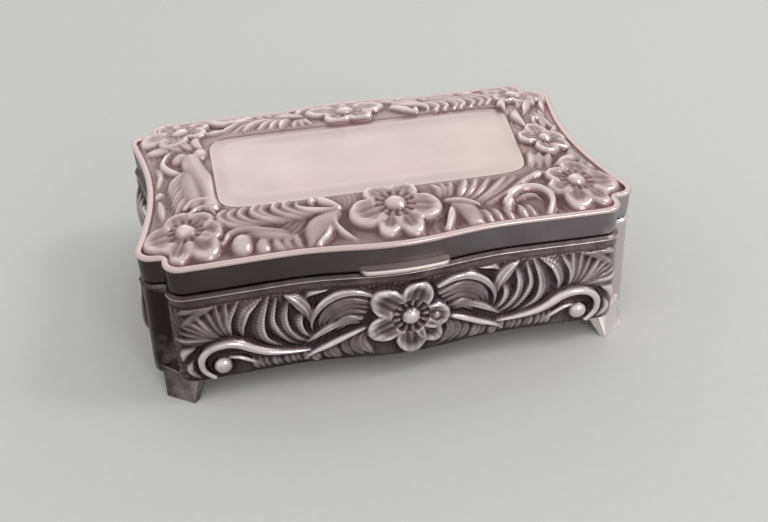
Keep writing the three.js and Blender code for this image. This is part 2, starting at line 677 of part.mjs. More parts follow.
// A lip with round ends at the foot of the lid's front skirt
function thumbLiftGeometry() {
  const outer = [];
  const inner = [];
  for (let i = 0; i <= LIFT_STEPS; i += 1) {
    const across = LIFT_HALF * Math.cos((Math.PI * i) / LIFT_STEPS);
    const reach = LIFT_REACH * Math.sqrt(Math.sin((Math.PI * i) / LIFT_STEPS));
    const seat = longFace(across) - SKIRT_SET + SEAT_GAP;
    inner.push(new THREE.Vector2(across, -seat));
    outer.push({ across, seat, reach });
  }
  const loopAt = (share) => [
    ...outer.slice(1, -1).map((p) => new THREE.Vector2(p.across, -(p.seat + p.reach * share))),
    ...inner.slice().reverse(),
  ];
  const top = LID_BOTTOM + LIFT_HEIGHT + LIFT_THICK;
  return skin([
    atHeight(loopAt(LIFT_UNDERSIDE_SHARE), LID_BOTTOM + LIFT_HEIGHT),
    atHeight(loopAt(1), LID_BOTTOM + LIFT_HEIGHT + LIFT_THICK / 2),
    atHeight(loopAt(LIFT_TOP_SHARE), top),
  ]);
}

// Hinge
const AXIS_Z = BODY_TOP + PARTING_GAP / 2;
const BOW_FACE = longFace(0);
const LEAF_BACK = BOW_FACE + SEAT_GAP + LEAF_THICK;
const AXIS_Y = LEAF_BACK + SEAT_GAP + KNUCKLE_RADIUS;
const WEB_FRONT = BOW_FACE + LEDGE_PROUD + SEAT_GAP;
const KNUCKLE_LENGTH = (HINGE_LENGTH - (KNUCKLES - 1) * KNUCKLE_GAP) / KNUCKLES;
const ROUND_SIDES = 16;

function rod(x0, x1, radius) {
  const geometry = new THREE.CylinderGeometry(radius, radius, x1 - x0, ROUND_SIDES);
  return geometry.rotateZ(Math.PI / 2).translate((x0 + x1) / 2, AXIS_Y, AXIS_Z);
}

// A leaf's plate in plan: its front follows the wall, its back is flat
function leafPlate(face, bottom, top) {
  const half = HINGE_LENGTH / 2;
  const steps = 8;
  const front = [];
  for (let i = 0; i <= steps; i += 1) {
    const x = half - (2 * half * i) / steps;
    front.push(new THREE.Vector2(x, face(x) + SEAT_GAP));
  }
  return prism([new THREE.Vector2(half, LEAF_BACK), ...front, new THREE.Vector2(-half, LEAF_BACK)], bottom, top);
}

function knuckleStart(i) {
  return -HINGE_LENGTH / 2 + i * (KNUCKLE_LENGTH + KNUCKLE_GAP);
}

function boredLeaf(parts) {
  const bore = rod(-HINGE_LENGTH, HINGE_LENGTH, PIN_RADIUS + PIN_CLEARANCE);
  return geometryOf(join(parts).subtract(solidOf(bore)));
}

function bodyLeafGeometry() {
  const top = BODY_TOP - LEDGE_HEIGHT - SEAT_GAP;
  const parts = [outwards(leafPlate(longFace, top - LEAF_HEIGHT, top))];
  for (let i = 0; i < KNUCKLES; i += 2) {
    const x = knuckleStart(i);
    parts.push(rod(x, x + KNUCKLE_LENGTH, KNUCKLE_RADIUS));
    parts.push(block(x, x + KNUCKLE_LENGTH, WEB_FRONT, AXIS_Y, top - KNUCKLE_RADIUS, AXIS_Z));
  }
  return boredLeaf(parts);
}

function lidLeafGeometry() {
  const bottom = LID_BOTTOM + SEAT_GAP;
  const over = OPEN_ANGLE - Math.PI / 2;
  const heelRoom = AXIS_Y - LEAF_BACK - STOP_GAP;
  const heelDrop = (heelRoom - HEEL_REACH * Math.sin(over)) / Math.cos(over);
  const skirtFace = (x) => longFace(x) - SKIRT_SET;
  const parts = [outwards(leafPlate(skirtFace, bottom, bottom + LEAF_HEIGHT))];
  for (let i = 1; i < KNUCKLES; i += 2) {
    const x = knuckleStart(i);
    parts.push(rod(x, x + KNUCKLE_LENGTH, KNUCKLE_RADIUS));
    parts.push(block(x, x + KNUCKLE_LENGTH, WEB_FRONT, AXIS_Y, AXIS_Z, bottom + KNUCKLE_RADIUS));
    parts.push(block(x, x + KNUCKLE_LENGTH, AXIS_Y, AXIS_Y + HEEL_REACH, AXIS_Z - heelDrop, AXIS_Z + heelDrop));
  }
  return boredLeaf(parts);
}

function pinGeometry() {
  const end = HINGE_LENGTH / 2 + KNUCKLE_GAP;
  const headRadius = PIN_RADIUS + PIN_HEAD;
  return geometryOf(join([
    rod(-end - PIN_HEAD, end + PIN_HEAD, PIN_RADIUS),
    rod(-end - PIN_HEAD, -end, headRadius),
    rod(end, end + PIN_HEAD, headRadius),
  ]));
}

// Lining loop: inside the walls, straight across each corner
function liningLoop(inset) {
  const loop = offsetOutline(-inset);
  return loop.filter((point, i) => {
    const along = i % QUARTER_STEPS;
    const turn = Math.floor(i / QUARTER_STEPS);
    const place = turn % 2 === 0 ? along : QUARTER_STEPS - along;
    return place < quarter.earIndex || place >= quarter.longIndex;
  });
}

const CARD_BOTTOM = FOOT_HEIGHT + PLATE_THICK;
const VELVET_BOTTOM = CARD_BOTTOM + CARD_THICK;
const LID_CARD_TOP = BORDER_LOW - LID_WALL;
const LID_VELVET_TOP = LID_CARD_TOP - CARD_THICK;
const WALL_INSET = WALL + SEAT_GAP;
const LID_INSET = SKIRT_SET + LID_WALL + SEAT_GAP;

const box = new THREE.Group();

function addPiece(name, geometry, material) {
  const mesh = new THREE.Mesh(geometry, material);
  mesh.name = name;
  box.add(mesh);
}

// Places of the joints on the whole outline
const half = 2 * QUARTER_STEPS;
const ear = quarter.earIndex;
const notch = quarter.notchIndex;
const long = quarter.longIndex;

addPiece('lid_shell', lidGeometry(), silver);
addPiece('thumb_lift', outwards(thumbLiftGeometry()), silver);
addPiece('lid_card', prism(liningLoop(LID_INSET), LID_VELVET_TOP, LID_CARD_TOP), card);
addPiece('lid_velvet', prism(liningLoop(LID_INSET), LID_VELVET_TOP - LID_VELVET_THICK, LID_VELVET_TOP), velvet);
addPiece('hinge_leaf_lid', lidLeafGeometry(), steel);
addPiece('hinge_leaf_body', bodyLeafGeometry(), steel);
addPiece('hinge_pin', pinGeometry(), steel);

const wallPlaces = {
  wall_back: [notch, half - notch, longWallRelief(backPanel, BACK_BLOOM_RADIUS, BACK_RELIEF_SHARE), true],
  wall_front: [half + notch, 2 * half - notch, longWallRelief(frontPanel, FRONT_BLOOM_RADIUS, 1), true],
  wall_left: [half - ear, half + ear, endWallRelief(leftPanel), false],
  wall_right: [-ear, ear, endWallRelief(rightPanel), false],
};
Object.entries(wallPlaces).forEach(([name, [from, to, relief, alongX]]) => {
  addPiece(name, geometryOf(clearOfFeet(wallGeometry(from, to, relief), alongX)), silver);
});

const corners = { back_right: [1, 1], back_left: [-1, 1], front_left: [-1, -1], front_right: [1, -1] };
Object.entries(corners).forEach(([name, [signX, signY]]) => {
  addPiece(`corner_post_${name}`, postGeometry(signX, signY), silver);
});

addPiece('bottom_plate', prism(offsetOutline(-WALL_INSET), FOOT_HEIGHT, CARD_BOTTOM), silver);
addPiece('base_card', prism(liningLoop(WALL_INSET), CARD_BOTTOM, VELVET_BOTTOM), card);
const velvetInset = WALL_INSET + STRIP_THICK + SEAT_GAP;
addPiece('base_velvet', prism(liningLoop(velvetInset), VELVET_BOTTOM, VELVET_BOTTOM + VELVET_THICK), velvet);

const stripPlaces = {
  lining_back: [long, half - long],
  lining_front: [half + long, 2 * half - long],
  lining_left: [half - ear + 1, half + ear - 1],
  lining_right: [1 - ear, ear - 1],
};
Object.entries(stripPlaces).forEach(([name, [from, to]]) => {
  const plan = strip(from, to, -WALL_INSET, -WALL_INSET - STRIP_THICK, SEAT_GAP);
  addPiece(name, prism(plan, VELVET_BOTTOM + SEAT_GAP, BODY_TOP - STRIP_DROP), velvet);
});

// The hinge reaches further back than the thumb lift does forwards, so the box is set evenly about y = 0
const bounds = new THREE.Box3().setFromObject(box);
box.position.y = -(bounds.min.y + bounds.max.y) / 2;

const trinketBox = new THREE.Group();
trinketBox.add(box);

export default trinketBox;
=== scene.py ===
import math

import bpy
import numpy as np
from mathutils import Matrix, Vector


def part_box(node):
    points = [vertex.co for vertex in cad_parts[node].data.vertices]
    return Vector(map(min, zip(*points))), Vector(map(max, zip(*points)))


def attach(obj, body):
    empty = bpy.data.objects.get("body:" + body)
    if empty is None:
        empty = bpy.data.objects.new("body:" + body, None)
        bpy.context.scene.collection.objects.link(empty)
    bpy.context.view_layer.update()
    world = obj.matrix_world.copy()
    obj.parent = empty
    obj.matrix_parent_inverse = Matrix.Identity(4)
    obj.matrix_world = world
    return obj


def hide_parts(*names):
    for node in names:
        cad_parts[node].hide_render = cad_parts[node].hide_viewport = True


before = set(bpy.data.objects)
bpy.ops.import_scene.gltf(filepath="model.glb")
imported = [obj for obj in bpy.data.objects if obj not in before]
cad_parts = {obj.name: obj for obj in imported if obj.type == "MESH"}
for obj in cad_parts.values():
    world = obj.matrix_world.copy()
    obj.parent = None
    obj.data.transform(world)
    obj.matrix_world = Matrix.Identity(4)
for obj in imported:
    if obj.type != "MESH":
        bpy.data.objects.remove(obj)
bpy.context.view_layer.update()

# A small silver-plated trinket box: a cast lid and body with relief, on four flared feet, lined with velvet.
# Shapes are worked out in millimetres from the middle of the box's plan, and placed in metres by to_frame.
MM = 0.001


def box_mm(node):
    """Lowest and highest corner of a CAD node, in millimetres in the row frame."""
    low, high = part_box(node)
    return np.array(low) / MM, np.array(high) / MM


LID_LOW, LID_HIGH = box_mm("lid_shell")
WALL_LOW, WALL_HIGH = box_mm("wall_front")
MIDDLE_Y = (LID_LOW[1] + LID_HIGH[1]) / 2

# Plan outline, as the castings have it
EAR_HALF = 45.0
LONG_FACE = 29.3
WAIST_SET = 2.7
EAR_RADIUS = 3.1
EAR_LEAN = 12.0
EAR_FLAT = 0.4
WAIST_CURVE = 7.5
EAR_CURVE = 7.0
NOTCH_RADIUS = 0.8
CORNER_RADIUS = 3.2
CORNER_FLAT = 0.8
DIP_DEPTH = 0.45
BOW_DEPTH = 1.75
BOW_HALF = 19.0
WAIST_HALF = EAR_HALF - WAIST_SET
EAR_X = EAR_HALF - EAR_RADIUS
CORNER_X = EAR_X - EAR_FLAT - NOTCH_RADIUS - CORNER_RADIUS
CORNER_Y = LONG_FACE - CORNER_RADIUS
EAR_Y = CORNER_Y - CORNER_FLAT - NOTCH_RADIUS - EAR_RADIUS

# Heights and thicknesses
WALL_BOTTOM = WALL_LOW[2]
BODY_TOP = WALL_HIGH[2]
LID_BOTTOM = LID_LOW[2]
LID_TOP = LID_HIGH[2]
SKIRT_HEIGHT = 5.4
RIM_TOP = LID_BOTTOM + SKIRT_HEIGHT
FOOT_HEIGHT = box_mm("bottom_plate")[0][2]
LEDGE_PROUD = 0.28
LEDGE_HEIGHT = 0.7
LEDGE_FOOT = BODY_TOP - LEDGE_HEIGHT
WALL = 1.4
LID_WALL = 1.2
SKIRT_SET = 0.25
SKIRT_DRAFT = 0.2
BEAD_WIDTH = 1.25
BEAD_HEIGHT = 1.0
BEAD_DROP = 0.7

# The lid's border and panel
BORDER_END_WIDTH = 15.0
BORDER_SIDE_WIDTH = 14.3
BORDER_LOW = RIM_TOP - BEAD_DROP
PANEL_RISE = 1.1
BORDER_HIGH = LID_TOP - PANEL_RISE
PANEL_HALF_LENGTH = EAR_HALF - BORDER_END_WIDTH
PANEL_HALF_DEPTH = LONG_FACE - BORDER_SIDE_WIDTH
PANEL_SQUARENESS = 10
PANEL_ROUND = 4.2
PANEL_SLANT = 2.2
PANEL_CROWN = 0.6

# Steps in each stretch of a quarter of the outline
OUTLINE_STEPS = {"end": 60, "ear": 36, "notch": 8, "corner": 24, "long": 120}


# Plan curves

def arc(centre, radius, start, end, steps):
    """Points along an arc, with its angles in degrees."""
    turn = np.radians(np.linspace(start, end, steps + 1))
    return np.column_stack((centre[0] + radius * np.cos(turn), centre[1] + radius * np.sin(turn)))


def long_face(x):
    """Distance of the long wall's face from the middle line."""
    across = np.abs(x)
    dip = LONG_FACE - DIP_DEPTH
    bow = BOW_DEPTH * (1 + np.cos(np.pi * across / BOW_HALF)) / 2
    share = np.clip((across - BOW_HALF) / (CORNER_X - BOW_HALF), 0, 1)
    ease = DIP_DEPTH * (1 - np.cos(np.pi * share)) / 2
    return dip + np.where(across < BOW_HALF, bow, ease)


def bezier(points, steps):
    """A cubic curve through the first and last of four points."""
    t = np.linspace(0, 1, steps + 1)[:, None]
    a, b, c, d = np.array(points, float)
    return a * (1 - t) ** 3 + 3 * b * t * (1 - t) ** 2 + 3 * c * t ** 2 * (1 - t) + d * t ** 3


def quarter_outline():
    """One quarter in three stretches: end wall, ear with its notch, and long wall with its corner."""
    ear = arc((EAR_X, EAR_Y), EAR_RADIUS, -EAR_LEAN, 90, OUTLINE_STEPS["ear"])
    lean = math.radians(EAR_LEAN)
    handle = ear[0] - EAR_CURVE * np.array((math.sin(lean), math.cos(lean)))
    end = bezier(((WAIST_HALF, 0), (WAIST_HALF, WAIST_CURVE), handle, ear[0]), OUTLINE_STEPS["end"])
    notch_middle = (CORNER_X + CORNER_RADIUS + NOTCH_RADIUS, EAR_Y + EAR_RADIUS + NOTCH_RADIUS)
    notch = arc(notch_middle, NOTCH_RADIUS, -90, -180, OUTLINE_STEPS["notch"])
    corner = arc((CORNER_X, CORNER_Y), CORNER_RADIUS, 0, 90, OUTLINE_STEPS["corner"])
    x = np.linspace(CORNER_X, 0, OUTLINE_STEPS["long"] + 1)[1:]
    return end, np.vstack((ear, notch)), np.vstack((corner, np.column_stack((x, long_face(x)))))


def evenly(path, count):
    """The path's points spaced evenly, both ends kept."""
    length = np.concatenate(((0,), np.cumsum(np.linalg.norm(np.diff(path, axis=0), axis=1))))
    places = np.linspace(0, length[-1], count)
    return np.column_stack([np.interp(places, length, path[:, axis]) for axis in (0, 1)])


def mirrored(path, x=1, y=1):
    return path * (x, y)


END_QUARTER, EAR_QUARTER, LONG_QUARTER = quarter_outline()
QUARTER = np.vstack((END_QUARTER, EAR_QUARTER[1:], LONG_QUARTER))


def whole(quarter, count):
    """The closed loop of a quarter and its mirror images, anticlockwise from the right-hand waist."""
    back = np.vstack((quarter, mirrored(quarter, x=-1)[::-1][1:]))
    loop = np.vstack((back, mirrored(back, y=-1)[::-1][1:]))
    return evenly(loop, count + 1)[:-1]


def outward(path, closed):
    """Unit normals that point out of an anticlockwise path."""
    if closed:
        along = np.roll(path, -1, axis=0) - np.roll(path, 1, axis=0)
    else:
        along = np.gradient(path, axis=0)
    normal = np.column_stack((along[:, 1], -along[:, 0]))
    return normal / np.linalg.norm(normal, axis=1)[:, None]


def offset(path, distance, closed=True):
    return path + outward(path, closed) * np.reshape(distance, (-1, 1))


def panel_loop(outline, grow):
    """The lid panel's outline, with a point for each of the box's outline and a slanted right-hand end."""
    share = np.abs(outline / (EAR_HALF, LONG_FACE))
    gauge = (share ** PANEL_SQUARENESS).sum(axis=1) ** (1 / PANEL_SQUARENESS)
    half = np.array((PANEL_HALF_LENGTH + grow, PANEL_HALF_DEPTH + grow))
    loop = outline / (EAR_HALF, LONG_FACE) * half / gauge[:, None]
    loop[:, 0] += PANEL_SLANT * loop[:, 1] / half[1] * np.clip(loop[:, 0] / half[0], 0, 1) ** 3
    return loop


def at_height(path, z):
    return np.column_stack((path, np.broadcast_to(z, len(path))))


def profile(path, section, closed=False):
    """The path moved outward and to a height for each step of a section, whose share of wear and painted
    highlight is left out.
    """
    return [at_height(offset(path, out, closed), z) for out, z, *wear in section]


# Meshes

def to_frame(points):
    """Points in millimetres from the middle of the plan, as metres in the row frame."""
    return (points + (0, MIDDLE_Y, 0)) * MM


def grid_quads(rows, columns, around, wrap):
    """Faces between rows. around joins each row's ends, and wrap joins the last row to the first."""
    row = np.arange(rows if wrap else rows - 1)
    column = np.arange(columns if around else columns - 1)
    r, c = np.meshgrid(row, column, indexing="ij")
    below, beside = (r + 1) % rows, (c + 1) % columns
    corners = (r * columns + c, r * columns + beside, below * columns + beside, below * columns + c)
    return np.stack(corners, axis=-1).reshape(-1, 4)


def volume_sign(points, quads):
    a, b, c, d = (points[quads[:, k]] for k in range(4))
    parts = np.einsum("ij,ij->i", a, np.cross(b, c)) + np.einsum("ij,ij->i", a, np.cross(c, d))
    return 1 if parts.sum() > 0 else -1


def solid_of_rows(name, rows, around=False, wrap=True, polish=None):
    """A closed mesh object over rows of points that each hold as many. Open ends are closed by flat faces."""
    points = np.array(rows, float)
    count, columns = points.shape[:2]
    quads = grid_quads(count, columns, around, wrap)
    flat = to_frame(points.reshape(-1, 3))
    sign = volume_sign(flat - flat.mean(axis=0), quads)
    index = np.arange(count * columns).reshape(count, columns)
    caps = []
    if not wrap:
        caps = [index[0][::-1], index[-1]]
    elif not around:
        caps = [index[:, 0], index[::-1, -1]]
    faces = [list(map(int, face[::sign])) for face in [*quads, *caps]]
    mesh = bpy.data.meshes.new(name)
    mesh.from_pydata(flat.tolist(), [], faces)
    if polish is not None:
        attribute = mesh.attributes.new("polish", "FLOAT", "POINT")
        attribute.data.foreach_set("value", np.array(polish, np.float32).ravel())
    mesh.shade_smooth()
    piece = bpy.data.objects.new(name, mesh)
    bpy.context.scene.collection.objects.link(piece)
    return piece


def crease(piece, degrees):
    """Shades the piece hard at its edges that are sharper than this, and only there."""
    piece.data.set_sharp_from_angle(angle=math.radians(degrees))
    return piece


def fit(piece, body, slot, material, *nodes):
    """Gives the piece its material, makes it ride on its body and stand for its CAD nodes. slot is not used.
    """
    piece.data.materials.append(material)
    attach(piece, body)
    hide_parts(*nodes)


# Shader maths

def maths(operation, swapped=False):
    """A method that adds one Math node for two amounts."""
    def method(self, other):
        first, second = (other, self) if swapped else (self, other)
        return self.recipe.node("ShaderNodeMath", {"operation": operation}, {0: first, 1: second})

    return method


class Amount:
    """A number that varies over a surface: a socket whose arithmetic adds Math nodes."""

    def __init__(self, recipe, socket):
        self.recipe = recipe
        self.socket = socket

    __add__ = __radd__ = maths("ADD")
    __sub__ = maths("SUBTRACT")
    __rsub__ = maths("SUBTRACT", swapped=True)
    __mul__ = maths("MULTIPLY")
    at_most = maths("MINIMUM")
    at_least = maths("MAXIMUM")


def swing(amount, much):
    """An amount from 0 to 1 moved to lie evenly around 0, and scaled."""
    return (amount - 0.5) * much


# Sockets of a Mix node that mixes colours
MIX_SHARE, MIX_FIRST, MIX_SECOND, MIX_RESULT = 0, 6, 7, 2


class Recipe:
    """One material's nodes."""

    def __init__(self, name):
        self.material = bpy.data.materials.new(name)
        self.material.use_nodes = True
        self.tree = self.material.node_tree
        self.tree.nodes.clear()

    def node(self, kind, settings=None, inputs=None, output=0):
        """One output of a new node. Its settings are made first, then its sockets' values or links."""
        node = self.tree.nodes.new(kind)
        for name, value in (settings or {}).items():
            if name == "stops":
                self.set_stops(node.color_ramp, value)
            else:
                setattr(node, name, value)
        for name, value in (inputs or {}).items():
            if isinstance(value, Amount):
                self.tree.links.new(value.socket, node.inputs[name])
            else:
                node.inputs[name].default_value = value
        return Amount(self, node.outputs[output])

    def set_stops(self, ramp, stops):
        while len(ramp.elements) < len(stops):
            ramp.elements.new(0.5)
        for element, (position, tone) in zip(ramp.elements, stops):
            element.position = position
            element.color = (*tone, 1) if isinstance(tone, tuple) else (tone, tone, tone, 1)

    def places(self):
        return self.node("ShaderNodeTexCoord", output="Object")

    def noise(self, size_mm, detail=3.0, roughness=0.5):
        """Noise from 0 to 1 whose lumps are about size_mm across."""
        scale = 1 / (size_mm * MM)
        inputs = {"Vector": self.places(), "Scale": scale, "Detail": detail, "Roughness": roughness}
        return self.node("ShaderNodeTexNoise", inputs=inputs)

    def polish(self):
        """How far wear has reached, with painted highlights in places, as the mesh carries it."""
        return self.node("ShaderNodeAttribute", {"attribute_name": "polish"}, output="Fac")

    def across(self):
        """From -0.5 at the box's left end to 0.5 at its right end."""
        parts = self.node("ShaderNodeSeparateXYZ", inputs={"Vector": self.places()}, output="X")
        return parts * (0.5 / (EAR_HALF * MM))

    def ramp(self, amount, stops):
        return self.node("ShaderNodeValToRGB", {"stops": stops}, {"Fac": amount})

    def blend(self, share, first, second):
        """A colour between two others."""
        inputs = {MIX_SHARE: share, MIX_FIRST: colour(first), MIX_SECOND: colour(second)}
        return self.node("ShaderNodeMix", {"data_type": "RGBA"}, inputs, output=MIX_RESULT)

    def bump(self, height, depth_mm, strength=1.0):
        inputs = {"Strength": strength, "Distance": depth_mm * MM, "Height": height}
        return self.node("ShaderNodeBump", inputs=inputs)

    def finish(self, **sockets):
        """Closes the material with a Principled shader. Underscores stand for spaces in sockets' names."""
        inputs = {name.replace("_", " "): value for name, value in sockets.items()}
        surface = self.node("ShaderNodeBsdfPrincipled", inputs=inputs)
        output = self.tree.nodes.new("ShaderNodeOutputMaterial")
        self.tree.links.new(surface.socket, output.inputs["Surface"])
        return self.material

    def metal(self, tone, shine, normal):
        return self.finish(Base_Color=tone, Metallic=1.0, Roughness=shine, Normal=normal)


def colour(value):
    return value if isinstance(value, Amount) else (*value, 1)


# Finishes

def relief_silver(name, stops, rough, lean, blotch):
    """Antiqued plate: pale on what stands proud, with brown-black patina left in the hollows; its palest
    tones, on the crests, are partly painted highlight.
    lean is how much lighter the tone is painted at the right than at the left, as painted light, and blotch
    how uneven it is."""
    recipe = Recipe(name)
    polish = recipe.polish()
    cloud = recipe.noise(size_mm=3.0, detail=4.0)
    grain = recipe.noise(size_mm=0.35, detail=2.0)
    # lean adds painted light: the tone is painted lighter towards the right.
    wear_and_light = polish + swing(cloud, blotch) + swing(grain, 0.16) + recipe.across() * lean
    wear_and_light = wear_and_light.at_least(0).at_most(1)
    tone = recipe.ramp(wear_and_light, stops)
    shine = rough + (1 - wear_and_light) * 0.16 + swing(grain, 0.1)
    return recipe.metal(tone, shine, recipe.bump(grain * (1.35 - wear_and_light), depth_mm=0.05, strength=0.8))


def plain_silver(name, tone, tarnish_and_shade, rough, drift=0.0):
    """Satin plate with tarnished clouds and fine rubbing marks. drift paints it lighter towards the right and
    darker towards the left: painted light and painted shade.
    """
    recipe = Recipe(name)
    cloud = recipe.noise(size_mm=9.0, detail=4.0)
    speck = recipe.noise(size_mm=0.6)
    share = recipe.ramp(cloud, [(0.3, 0.0), (0.75, 1.0)]) * 0.55 + speck * 0.15
    # drift paints light towards the right and shade towards the left.
    if drift:
        share = (share - recipe.across() * drift).at_least(0).at_most(1)
    tint = recipe.blend(share, tone, tarnish_and_shade)
    shine = rough + swing(cloud, 0.16) + swing(speck, 0.06)
    return recipe.metal(tint, shine, recipe.bump(speck, depth_mm=0.015, strength=0.5))


def rim_silver():
    """Dull grey plate on the lid's skirt, worn pale along the bead. Its dark, clouded tone is partly
    tarnished plate and partly painted shade, and it is painted lighter towards the right as a painted
    reflection.
    """
    recipe = Recipe("rim_silver")
    lightness = recipe.polish()
    cloud = recipe.noise(size_mm=7.0, detail=4.0)
    speck = recipe.noise(size_mm=0.5)
    share = recipe.ramp(lightness + swing(speck, 0.2), [(0.35, 0.0), (0.75, 1.0)])
    # Painted shade, with tarnished clouds, that lightens to a painted reflection towards the right.
    tarnish_shade_and_reflection = recipe.ramp(0.5 + recipe.across() + swing(cloud, 0.5), [
        (0.0, (0.064, 0.047, 0.050)), (0.45, (0.105, 0.089, 0.093)), (0.86, (0.22, 0.196, 0.208)),
        (0.96, (0.42, 0.38, 0.39)),
    ])
    tone = recipe.blend(share, tarnish_shade_and_reflection, (0.74, 0.59, 0.58))
    shine = 0.34 - share * 0.06 + swing(cloud, 0.12)
    return recipe.metal(tone, shine, recipe.bump(speck, depth_mm=0.012, strength=0.5))


def panel_silver():
    """Smooth satin plate with painted reflections: a little yellower towards the right, and clouded darker in
    places.
    """
    recipe = Recipe("panel_silver")
    cloud = recipe.noise(size_mm=14.0, detail=4.0, roughness=0.55)
    speck = recipe.noise(size_mm=0.7)
    # Painted reflections: yellower towards the right, and darker clouds.
    reflection_share = recipe.ramp(0.5 + recipe.across() * 1.1 + swing(cloud, 0.9), [(0.62, 0.0), (0.86, 1.0)])
    tone = recipe.blend(reflection_share, (0.80, 0.64, 0.625), (0.80, 0.665, 0.585))
    cloudy = recipe.blend(recipe.ramp(cloud, [(0.32, 0.0), (0.72, 1.0)]), tone, (0.70, 0.56, 0.562))
    shine = 0.3 + swing(cloud, 0.14) + swing(speck, 0.08)
    return recipe.metal(cloudy, shine, recipe.bump(speck, depth_mm=0.012, strength=0.4))


def velvet():
    """Short-pile velvet, brighter where it is seen aslant."""
    recipe = Recipe("red_velvet")
    pile = recipe.noise(size_mm=0.25, detail=2.0)
    brushed = recipe.noise(size_mm=9.0)
    tone = recipe.blend(brushed * 0.7 + pile * 0.3, (0.09, 0.006, 0.012), (0.24, 0.02, 0.035))
    normal = recipe.bump(pile, depth_mm=0.12, strength=0.8)
    return recipe.finish(
        Base_Color=tone, Roughness=0.95, Normal=normal, Sheen_Weight=1.0, Sheen_Roughness=0.4,
        Sheen_Tint=(0.9, 0.35, 0.4, 1),
    )


def pressed_card():
    recipe = Recipe("pressed_card")
    fibre = recipe.noise(size_mm=0.5, detail=4.0)
    tone = recipe.blend(fibre, (0.36, 0.27, 0.17), (0.52, 0.43, 0.3))
    return recipe.finish(Base_Color=tone, Roughness=0.9, Normal=recipe.bump(fibre, depth_mm=0.05))


# One plate in two copies: the lid's lighter tones are painted light and the walls' darker tones painted
# shade, for what each reflects, and the palest stops, on the crests, are painted highlights. The walls' lean
# is painted light towards the right.
LID_SILVER = relief_silver("lid_relief_silver", [
    (0.0, (0.17, 0.095, 0.10)), (0.25, (0.34, 0.225, 0.225)), (0.55, (0.56, 0.415, 0.412)),
    (1.0, (0.96, 0.81, 0.79)),
], rough=0.24, lean=0.0, blotch=0.22)
WALL_SILVER = relief_silver("wall_relief_silver", [
    (0.0, (0.05, 0.034, 0.038)), (0.3, (0.14, 0.108, 0.115)), (0.6, (0.35, 0.292, 0.302)),
    (1.0, (0.88, 0.80, 0.795)),
], rough=0.2, lean=0.2, blotch=0.42)
RIM_SILVER = rim_silver()
PANEL_SILVER = panel_silver()
# The posts and feet are painted dark at the left and light at the right: painted shade and painted light.
POST_SILVER = plain_silver("post_silver", (0.66, 0.585, 0.60), (0.036, 0.023, 0.022), rough=0.28, drift=1.35)
FOOT_SILVER = plain_silver("foot_silver", (0.86, 0.79, 0.78), (0.075, 0.05, 0.05), rough=0.3, drift=1.5)
LIFT_SILVER = plain_silver("lift_silver", (0.84, 0.745, 0.72), (0.62, 0.52, 0.505), rough=0.42)
PLATE_SILVER = plain_silver("plate_silver", (0.30, 0.26, 0.26), (0.16, 0.13, 0.13), rough=0.34)
HINGE_METAL = plain_silver("hinge_metal", (0.5, 0.46, 0.44), (0.3, 0.26, 0.24), rough=0.38)
RED_VELVET = velvet()
CARD = pressed_card()


# Relief carving

def smooth_route(route, samples=36):
    """A smooth curve through the route's points (Catmull-Rom)."""
    points = np.array(route, float)
    padded = np.vstack((2 * points[0] - points[1], points, 2 * points[-1] - points[-2]))
    spans = len(points) - 1
    places = np.linspace(0, spans, samples)
    index = np.minimum(places.astype(int), spans - 1)
    t = (places - index)[:, None]
    p0, p1, p2, p3 = (padded[index + k] for k in range(4))
    return 0.5 * (2 * p1 + (p2 - p0) * t + (2 * p0 - 5 * p1 + 4 * p2 - p3) * t ** 2
                  + (3 * p1 - p0 - 3 * p2 + p3) * t ** 3)


def direction(degrees):
    return math.cos(math.radians(degrees)), math.sin(math.radians(degrees))


# Where a stroke is widest, as a share of its length, and how steeply its hollow falls
WIDEST_AT = 0.45
DISH_POWER = 1.6
# Half the depth of a stroke's grooves, as shares of its height
VEIN_DEPTH = 0.09
HATCH_DEPTH = 0.08

# How far the strokes of a fan stray in place, width and height, as shares
PLACE_STRAY = 0.16
WIDTH_STRAY = 0.12
HEIGHT_STRAY = 0.09

# A petal's ribs, and its forms as shares of its length, width and height
PETAL_RIBS = 5
PETAL_ROOT_WIDTH = 0.55
PETAL_WIDE_FROM = 0.6
PETAL_CUP = 0.42
CUP_FROM = 0.35
CUP_RUN = 0.52
RIB_HEIGHT = 0.1

# The ridges round a flower's middle: how many, and their ring in radii of the middle
RIDGES = 13
RING_START = 0.9
RING_END = 1.75
RING_CREST = 1.4
RING_HALF = 0.5
# The height of a flower's middle, as a share of its petals' height
MIDDLE_RISE = 1.25


